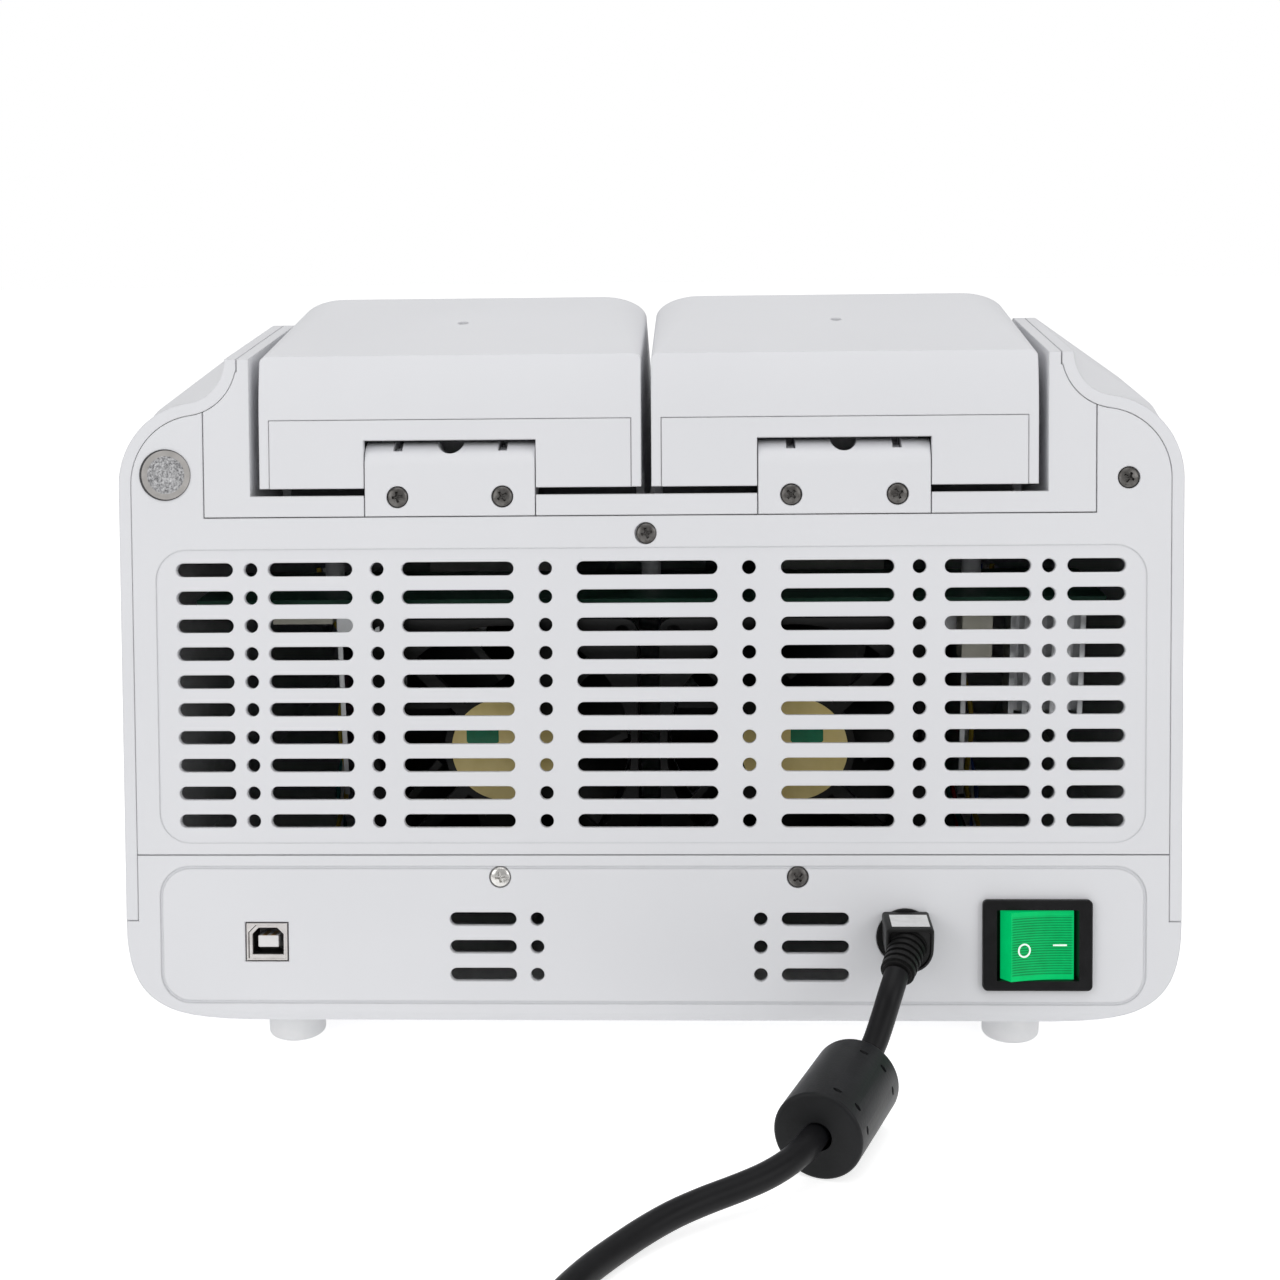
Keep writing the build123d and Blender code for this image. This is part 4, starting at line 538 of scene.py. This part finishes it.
outer = socket_outline(SHELL_HALF, SHELL_CUT)
mouth = socket_outline(MOUTH_HALF, MOUTH_CUT, MOUTH_UP)
# The near-black sheet on the socket's inner walls is painted shade for the dark inside of the
# socket.
socket_shade_sheet = finish(
    "socket_painted_shade", (0.012, 0.01, 0.009), (0.02, 0.017, 0.015),
    scale=300, rough=0.45, spread=0.05, grain=900, depth=0.03, shine=0.3,
)
tongue_white = finish(
    "socket_tongue", (0.72, 0.71, 0.71), (0.8, 0.79, 0.79),
    scale=300, rough=0.45, spread=0.05, grain=900, depth=0.03,
)
contact_gold = finish(
    "contact_gold", (0.5, 0.33, 0.12), (0.62, 0.42, 0.18),
    scale=600, rough=0.3, spread=0.06, grain=1500, depth=0.05, metal=1.0,
)
# The second layer is the painted shade inside the socket, a near-black sheet behind the mouth.
SOCKET_LAYERS = (("mouth", -0.9, -0.05, nickel), ("painted_shade", -9.0, -0.9, socket_shade_sheet))
for label, low, high, film in SOCKET_LAYERS:
    plate = cut_with(prism("plate", outer, low, high), prism("opening", mouth, low - 1, high + 1))
    lay_on(plate, on_face(*USB_AT))
    piece_of(f"usb_{label}", plate, film, "chassis")
tongue_box = [(x * USB_TONGUE_HALF[0], y * USB_TONGUE_HALF[1]) for x, y in SQUARE]
tongue = prism("tongue", tongue_box, *TONGUE_ENDS)
lay_on(tongue, on_face(*USB_AT))
piece_of("usb_tongue", tongue, tongue_white, "chassis")
for label, shift in (("left", -CONTACT_AT), ("right", CONTACT_AT)):
    near, far = shift - CONTACT_HALF, shift + CONTACT_HALF
    under, over = CONTACT_HIGH
    strip = [(near, under), (far, under), (far, over), (near, over)]
    contact = prism("contact", strip, *CONTACT_ENDS)
    lay_on(contact, on_face(*USB_AT))
    piece_of(f"usb_contact_{label}", contact, contact_gold, "chassis")

# Power switch
# A black snap-in frame round a green lit rocker with fine level ribs and two white marks. Its
# glow is dimmed nearly to black in the groove bottoms, which is painted shade.
# The rocker tips on its pins, and its raised end is the one at the left of the view.
frame_black = finish(
    "switch_frame", (0.006, 0.006, 0.0065), (0.01, 0.01, 0.011),
    scale=200, rough=0.4, spread=0.05, grain=1500, depth=0.05, edge=0.0003, shine=0.15,
)
wear(frame_black, "switch_bezel")
PADDLE_HALF, PADDLE_TOP, PADDLE_STAND, PADDLE_DIP, PADDLE_HIGH = 10.8, 9.5, 2.9, 1.6, 20.0
PADDLE_PIVOT, PADDLE_REST, SWITCH_AT = -3.0, radians(11.212), (-112.7, 24.3)
RIB_PITCH, RIB_HIGH, RIB_AREA = 0.74, 0.14, 8.6
RIB_STEPS, RIB_MARGIN, EDGE_MARGIN, PADDLE_ACROSS = 6, 0.2, 0.7, 24
PADDLE_KEEL, PADDLE_SKIRT = (4, -5.5), -2.5
to_pivot = Matrix.Translation((0, 0, PADDLE_PIVOT / 1000))
tipped = Matrix.Rotation(PADDLE_REST, 4, "Y")
paddle_frame = on_face(*SWITCH_AT) @ to_pivot @ tipped @ to_pivot.inverted()


def paddle_height(x):
    """Height of the rocker's hollow face."""
    return PADDLE_DIP + (PADDLE_STAND - PADDLE_DIP) * (x / PADDLE_TOP) ** 2


form = bmesh.new()
ribs = form.verts.layers.float_color.new("rib")
rows = []
rib_rows = int(2 * RIB_AREA / RIB_PITCH * RIB_STEPS)
levels = [-PADDLE_HIGH / 2, -RIB_AREA - RIB_MARGIN]
levels += [RIB_AREA * (2 * k / rib_rows - 1) for k in range(rib_rows + 1)]
levels += [RIB_AREA + RIB_MARGIN, PADDLE_HIGH / 2]
for y in levels:
    inside = abs(y) <= RIB_AREA
    wave = 0.5 - 0.5 * cos(2 * pi * (y + RIB_AREA) / RIB_PITCH) if inside else 0
    row = [(-PADDLE_KEEL[0], PADDLE_KEEL[1], 0), (-PADDLE_HALF, PADDLE_SKIRT, 0)]
    for k in range(PADDLE_ACROSS + 1):
        x = PADDLE_TOP * (2 * k / PADDLE_ACROSS - 1)
        rib = wave if abs(x) < PADDLE_TOP - EDGE_MARGIN else 0
        row.append((x, paddle_height(x) - RIB_HIGH * rib, rib))
    row += [(PADDLE_HALF, PADDLE_SKIRT, 0), (*PADDLE_KEEL, 0)]
    made = []
    for x, z, rib in row:
        point = form.verts.new((x, y, z))
        point[ribs] = (rib, rib, rib, 1)
        made.append(point)
    rows.append(made)
for low, high in zip(rows, rows[1:]):
    for k in range(len(low)):
        after = (k + 1) % len(low)
        form.faces.new((low[k], low[after], high[after], high[k]))
form.faces.new(list(reversed(rows[0])))
form.faces.new(rows[-1])
bmesh.ops.recalc_face_normals(form, faces=form.faces)
paddle_mesh = bpy.data.meshes.new("switch_paddle")
form.to_mesh(paddle_mesh)
form.free()
lay_on(paddle_mesh, paddle_frame)
lit_green = finish(
    "lit_green", (0.0, 0.2, 0.05), (0.0, 0.28, 0.075),
    scale=260, rough=0.3, spread=0.05, grain=900, depth=0.02, shine=0.08,
)
lit = lit_green.node_tree
lit_shader = lit.nodes["Principled BSDF"]
# The rocker's glow follows the rib depth and fades nearly to black in the groove bottoms: painted
# shade in the recesses.
grooves = node_at(lit, "ShaderNodeVertexColor", layer_name="rib")
glow_and_groove_shade = node_at(lit, "ShaderNodeValToRGB")
glow_and_groove_shade.color_ramp.elements[0].color = (0.0, 0.56, 0.15, 1)
glow_and_groove_shade.color_ramp.elements[1].color = (0.0, 0.03, 0.01, 1)
lit.links.new(grooves.outputs["Color"], glow_and_groove_shade.inputs["Fac"])
lit.links.new(glow_and_groove_shade.outputs["Color"], lit_shader.inputs["Emission Color"])
lit_shader.inputs["Emission Strength"].default_value = 0.62
paddle = piece_of("switch_paddle", paddle_mesh, lit_green, "rocker", 25)
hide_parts("switch_rocker")

mark_white = finish(
    "mark_white", (0.8, 0.84, 0.82), (0.88, 0.9, 0.88),
    scale=300, rough=0.4, spread=0.05, grain=900, depth=0.02,
)
mark_shader = mark_white.node_tree.nodes["Principled BSDF"]
mark_shader.inputs["Emission Color"].default_value = (0.8, 1.0, 0.9, 1)
mark_shader.inputs["Emission Strength"].default_value = 0.25
MARK_R, MARK_STROKE, BAR_LONG, MARK_UNDER, MARK_TOP = 1.82, 0.24, 4.0, -0.2, 0.14
RING_AT, BAR_AT = (-5.2, -1.2), (5.6, 0.0)


def on_paddle(x, y):
    """Place on the rocker's hollow face, tilted to its slope."""
    slope = 2 * (PADDLE_STAND - PADDLE_DIP) * x / PADDLE_TOP**2
    place = Matrix.Translation((x / 1000, y / 1000, paddle_height(x) / 1000))
    return paddle_frame @ place @ Matrix.Rotation(-slope, 4, "Y")


ring_outside, ring_inside = MARK_R + MARK_STROKE, MARK_R - MARK_STROKE
ring_side = [(ring_outside, MARK_UNDER), (ring_outside, MARK_TOP)]
ring = lathe("ring", [(0, MARK_UNDER), *ring_side, (0, MARK_TOP)])
ring = cut_with(ring, lathe("eye", [(0, -1), (ring_inside, -1), (ring_inside, 1), (0, 1)]))
lay_on(ring, on_paddle(*RING_AT))
bar_half = (BAR_LONG / 2, MARK_STROKE)
bar_outline = [(x * bar_half[0], y * bar_half[1]) for x, y in SQUARE]
bar = prism("bar", bar_outline, MARK_UNDER, MARK_TOP)
lay_on(bar, on_paddle(*BAR_AT))
piece_of("switch_mark_off", ring, mark_white, "rocker", 30)
piece_of("switch_mark_on", bar, mark_white, "rocker")

# Fan labels
# Gold film on the fixed hub of each fan, with a small green inspection patch. Both are
# plain and held by their glue.
gold_film = finish(
    "gold_film", (0.78, 0.63, 0.25), (0.86, 0.71, 0.32),
    scale=160, rough=0.34, spread=0.06, grain=900, depth=0.03,
)
green_patch = finish(
    "green_patch", (0.0, 0.16, 0.075), (0.0, 0.2, 0.1),
    scale=300, rough=0.4, spread=0.05, grain=900, depth=0.03,
)
wear(gold_film, "right_fan_label", "left_fan_label")
PATCH_R, PATCH_SIDES, PATCH_FILM = 5.2, 8, (-0.02, 0.06)
PATCH_SHIFTS = {"right": (6.4, 4.6), "left": (-3.6, 4.6)}
for side, shift in PATCH_SHIFTS.items():
    low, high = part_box(f"{side}_fan_label")
    hub = (low + high) / 2
    turns = [pi * (2 * k + 1) / PATCH_SIDES for k in range(PATCH_SIDES)]
    patch = prism("patch", [(PATCH_R * cos(a), PATCH_R * sin(a)) for a in turns], *PATCH_FILM)
    sideways = Matrix(((1, 0, 0), (0, 0, 1), (0, 1, 0))).to_4x4()
    place = Matrix.Translation((hub.x + shift[0] / 1000, high.y, hub.z + shift[1] / 1000))
    lay_on(patch, place @ sideways)
    piece_of(f"{side}_fan_patch", patch, green_patch, "chassis")

# Plain finishes of the inner and small parts
# Boards, cooler, connectors, trays, blocks and pins, each in its usual material.
aluminium = finish(
    "milled_aluminium", (0.56, 0.57, 0.58), (0.64, 0.65, 0.66),
    scale=200, rough=0.34, spread=0.06, grain=1800, depth=0.06, metal=1.0, edge=0.0003,
)
steel = finish(
    "ground_steel", (0.45, 0.45, 0.46), (0.55, 0.55, 0.56),
    scale=300, rough=0.3, spread=0.06, grain=2000, depth=0.05, metal=1.0,
)
rubber = finish(
    "foot_rubber", (0.85, 0.86, 0.87), (0.9, 0.9, 0.91),
    scale=200, rough=0.6, spread=0.05, grain=900, depth=0.2,
)
board_mask = finish(
    "board_mask", (0.005, 0.035, 0.02), (0.008, 0.05, 0.028),
    scale=300, rough=0.35, spread=0.05, grain=1200, depth=0.1,
)
nylon = finish(
    "connector_nylon", (0.62, 0.6, 0.5), (0.7, 0.68, 0.58),
    scale=150, rough=0.5, spread=0.05, grain=900, depth=0.06, edge=0.0003,
)
tray_grey = finish(
    "tray_moulding", (0.1, 0.105, 0.11), (0.13, 0.135, 0.14),
    scale=80, rough=0.5, spread=0.05, grain=1500, depth=0.1, edge=0.0004,
)
fan_plastic = finish(
    "fan_plastic", (0.006, 0.006, 0.006), (0.01, 0.01, 0.01),
    scale=90, rough=0.42, spread=0.05, grain=1300, depth=0.06, edge=0.0004, shine=0.3,
)
ceramic = finish(
    "ceramic_plate", (0.72, 0.72, 0.7), (0.78, 0.78, 0.76),
    scale=90, rough=0.5, spread=0.05, grain=1300, depth=0.06,
)
light_bar = finish(
    "light_bar", (0.5, 0.58, 0.6), (0.6, 0.66, 0.68),
    scale=90, rough=0.2, spread=0.05, grain=900, depth=0.02,
)
wear(aluminium, "board_cooler")
wear(rubber, "feet")
wear(board_mask, "fan_board", "main_board")
wear(nylon, "board_connectors")
wear(light_bar, "status_lights")
wear(moulded_black, "dc_jack")
for side in ("right", "left"):
    wear(aluminium, *[f"{side}_{part}" for part in ("heated_plate", "sample_block", "heat_sink")])
    wear(steel, f"{side}_hinge_pin", f"{side}_plate_springs")
    wear(tray_grey, f"{side}_lid_tray", f"{side}_optics_head")
    wear(ceramic, f"{side}_peltier")
    wear(fan_plastic, f"{side}_fan_frame", f"{side}_fan_rotor")

# Loose wires
# Thin coloured wires beside each fan, down to the main board. The white and yellow ones show
# through the slots. Their upper ends stand free, 9 to 15 mm from the heat sink, and the red,
# blue and teal ones cut through it.
WIRE_R, WIRE_SHADE = 0.0008, 0.7
WIRE_INSET, WIRE_MARGIN, WIRE_BOW, BOW_TURN = 0.006, 0.010, 0.003, 2.1
WIRE_COLOURS = {
    "red": (0.42, 0.012, 0.01),
    "blue": (0.02, 0.07, 0.3),
    "yellow": (0.5, 0.36, 0.03),
    "white": (0.6, 0.6, 0.58),
    "teal": (0.0, 0.13, 0.12),
}
wire_skins = {}
for label, tone in WIRE_COLOURS.items():
    deeper = tuple(WIRE_SHADE * part for part in tone)
    wire_skins[label] = finish(
        f"wire_{label}", deeper, tone,
        scale=200, rough=0.42, spread=0.05, grain=900, depth=0.04,
    )
BUNDLES = {
    "right": ("red", "blue", "teal", "white", "yellow"),
    "left": ("red", "teal", "blue", "white", "yellow"),
}
for side, labels in BUNDLES.items():
    low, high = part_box(f"{side}_wires")
    way = 1 if side == "right" else -1
    near = low.x if way == 1 else high.x
    step = (high.x - low.x - WIRE_MARGIN) / len(labels)
    for k, label in enumerate(labels):
        x = near + way * (WIRE_INSET + step * k)
        bow = WIRE_BOW * sin(BOW_TURN * k)
        points = [
            (x, low.y + 0.010, high.z),
            (x, low.y + 0.010, high.z - 0.010),
            (x - way * (0.010 + bow), low.y + 0.020 + bow, high.z - 0.026),
            (x - way * (0.012 - 0.0015 * k), low.y + 0.024, (low.z + high.z) / 2 + 0.004),
            (x - way * (0.004 + 2 * bow), low.y + 0.018 + bow, low.z + 0.030),
            (x, low.y + 0.006, low.z + 0.012),
            (x, low.y + 0.004, low.z),
        ]
        wire = curve_piece(f"{side}_wire_{label}", points, WIRE_R, wire_skins[label], 3)
        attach(wire, "chassis")
        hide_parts(f"{side}_wires")

# Bench and light
# A seamless pale floor that still takes the machine's shadow, under three soft lamps.
floor_mesh = bpy.data.meshes.new("floor")
floor_mesh.from_pydata([(-6, -6, 0), (6, -6, 0), (6, 6, 0), (-6, 6, 0)], [], [(0, 1, 2, 3)])
floor = bpy.data.objects.new("floor", floor_mesh)
bpy.context.scene.collection.objects.link(floor)
floor_paint = bpy.data.materials.new("floor_paint")
floor_paint.use_nodes = True
paint = floor_paint.node_tree
matt = paint.nodes["Principled BSDF"]
matt.inputs["Base Color"].default_value = (0.8, 0.8, 0.8, 1)
matt.inputs["Roughness"].default_value = 0.9
seen = node_at(paint, "ShaderNodeLightPath")
rays = node_at(paint, "ShaderNodeMath", operation="MAXIMUM")
glow = node_at(paint, "ShaderNodeEmission")
both = node_at(paint, "ShaderNodeAddShader")
scaled = node_at(paint, "ShaderNodeMapRange")
scaled.inputs["To Min"].default_value = 0.22
scaled.inputs["To Max"].default_value = 0.66
paint.links.new(seen.outputs["Is Camera Ray"], rays.inputs[0])
paint.links.new(seen.outputs["Is Glossy Ray"], rays.inputs[1])
paint.links.new(rays.outputs[0], scaled.inputs["Value"])
paint.links.new(scaled.outputs[0], glow.inputs["Strength"])
paint.links.new(matt.outputs[0], both.inputs[0])
paint.links.new(glow.outputs[0], both.inputs[1])
paint.links.new(both.outputs[0], paint.nodes["Material Output"].inputs["Surface"])
floor_mesh.materials.append(floor_paint)

world = bpy.data.worlds.new("studio")
bpy.context.scene.world = world
world.use_nodes = True
sky = world.node_tree
sky_rays = node_at(sky, "ShaderNodeLightPath")
sky_mix = node_at(sky, "ShaderNodeMapRange")
sky_mix.inputs["To Min"].default_value = 0.55
sky_mix.inputs["To Max"].default_value = 1.0
sky.links.new(sky_rays.outputs["Is Camera Ray"], sky_mix.inputs["Value"])
sky.links.new(sky_mix.outputs["Result"], sky.nodes["Background"].inputs["Strength"])
sky.nodes["Background"].inputs["Color"].default_value = (1, 1, 1, 1)


def soft_lamp(name, place, aim, size, power):
    """Square studio lamp, aimed at a point."""
    lamp = bpy.data.lights.new(name, "AREA")
    lamp.size = size
    lamp.energy = power
    holder = bpy.data.objects.new(name, lamp)
    bpy.context.scene.collection.objects.link(holder)
    holder.location = place
    holder.rotation_euler = (Vector(aim) - Vector(place)).to_track_quat("-Z", "Y").to_euler()


OVER_SIZE, OVER_POWER, SIDE_SIZE, SIDE_POWER = 1.2, 5.5, 0.9, 5
soft_lamp("lamp_over", (0.0, 0.25, 1.5), (0, 0.05, 0.1), OVER_SIZE, OVER_POWER)
soft_lamp("lamp_left", (1.2, 1.1, 0.8), (0, 0.1, 0.1), SIDE_SIZE, SIDE_POWER)
soft_lamp("lamp_right", (-1.2, 1.1, 0.8), (0, 0.1, 0.1), SIDE_SIZE, SIDE_POWER)
bpy.context.scene.view_settings.view_transform = "Standard"
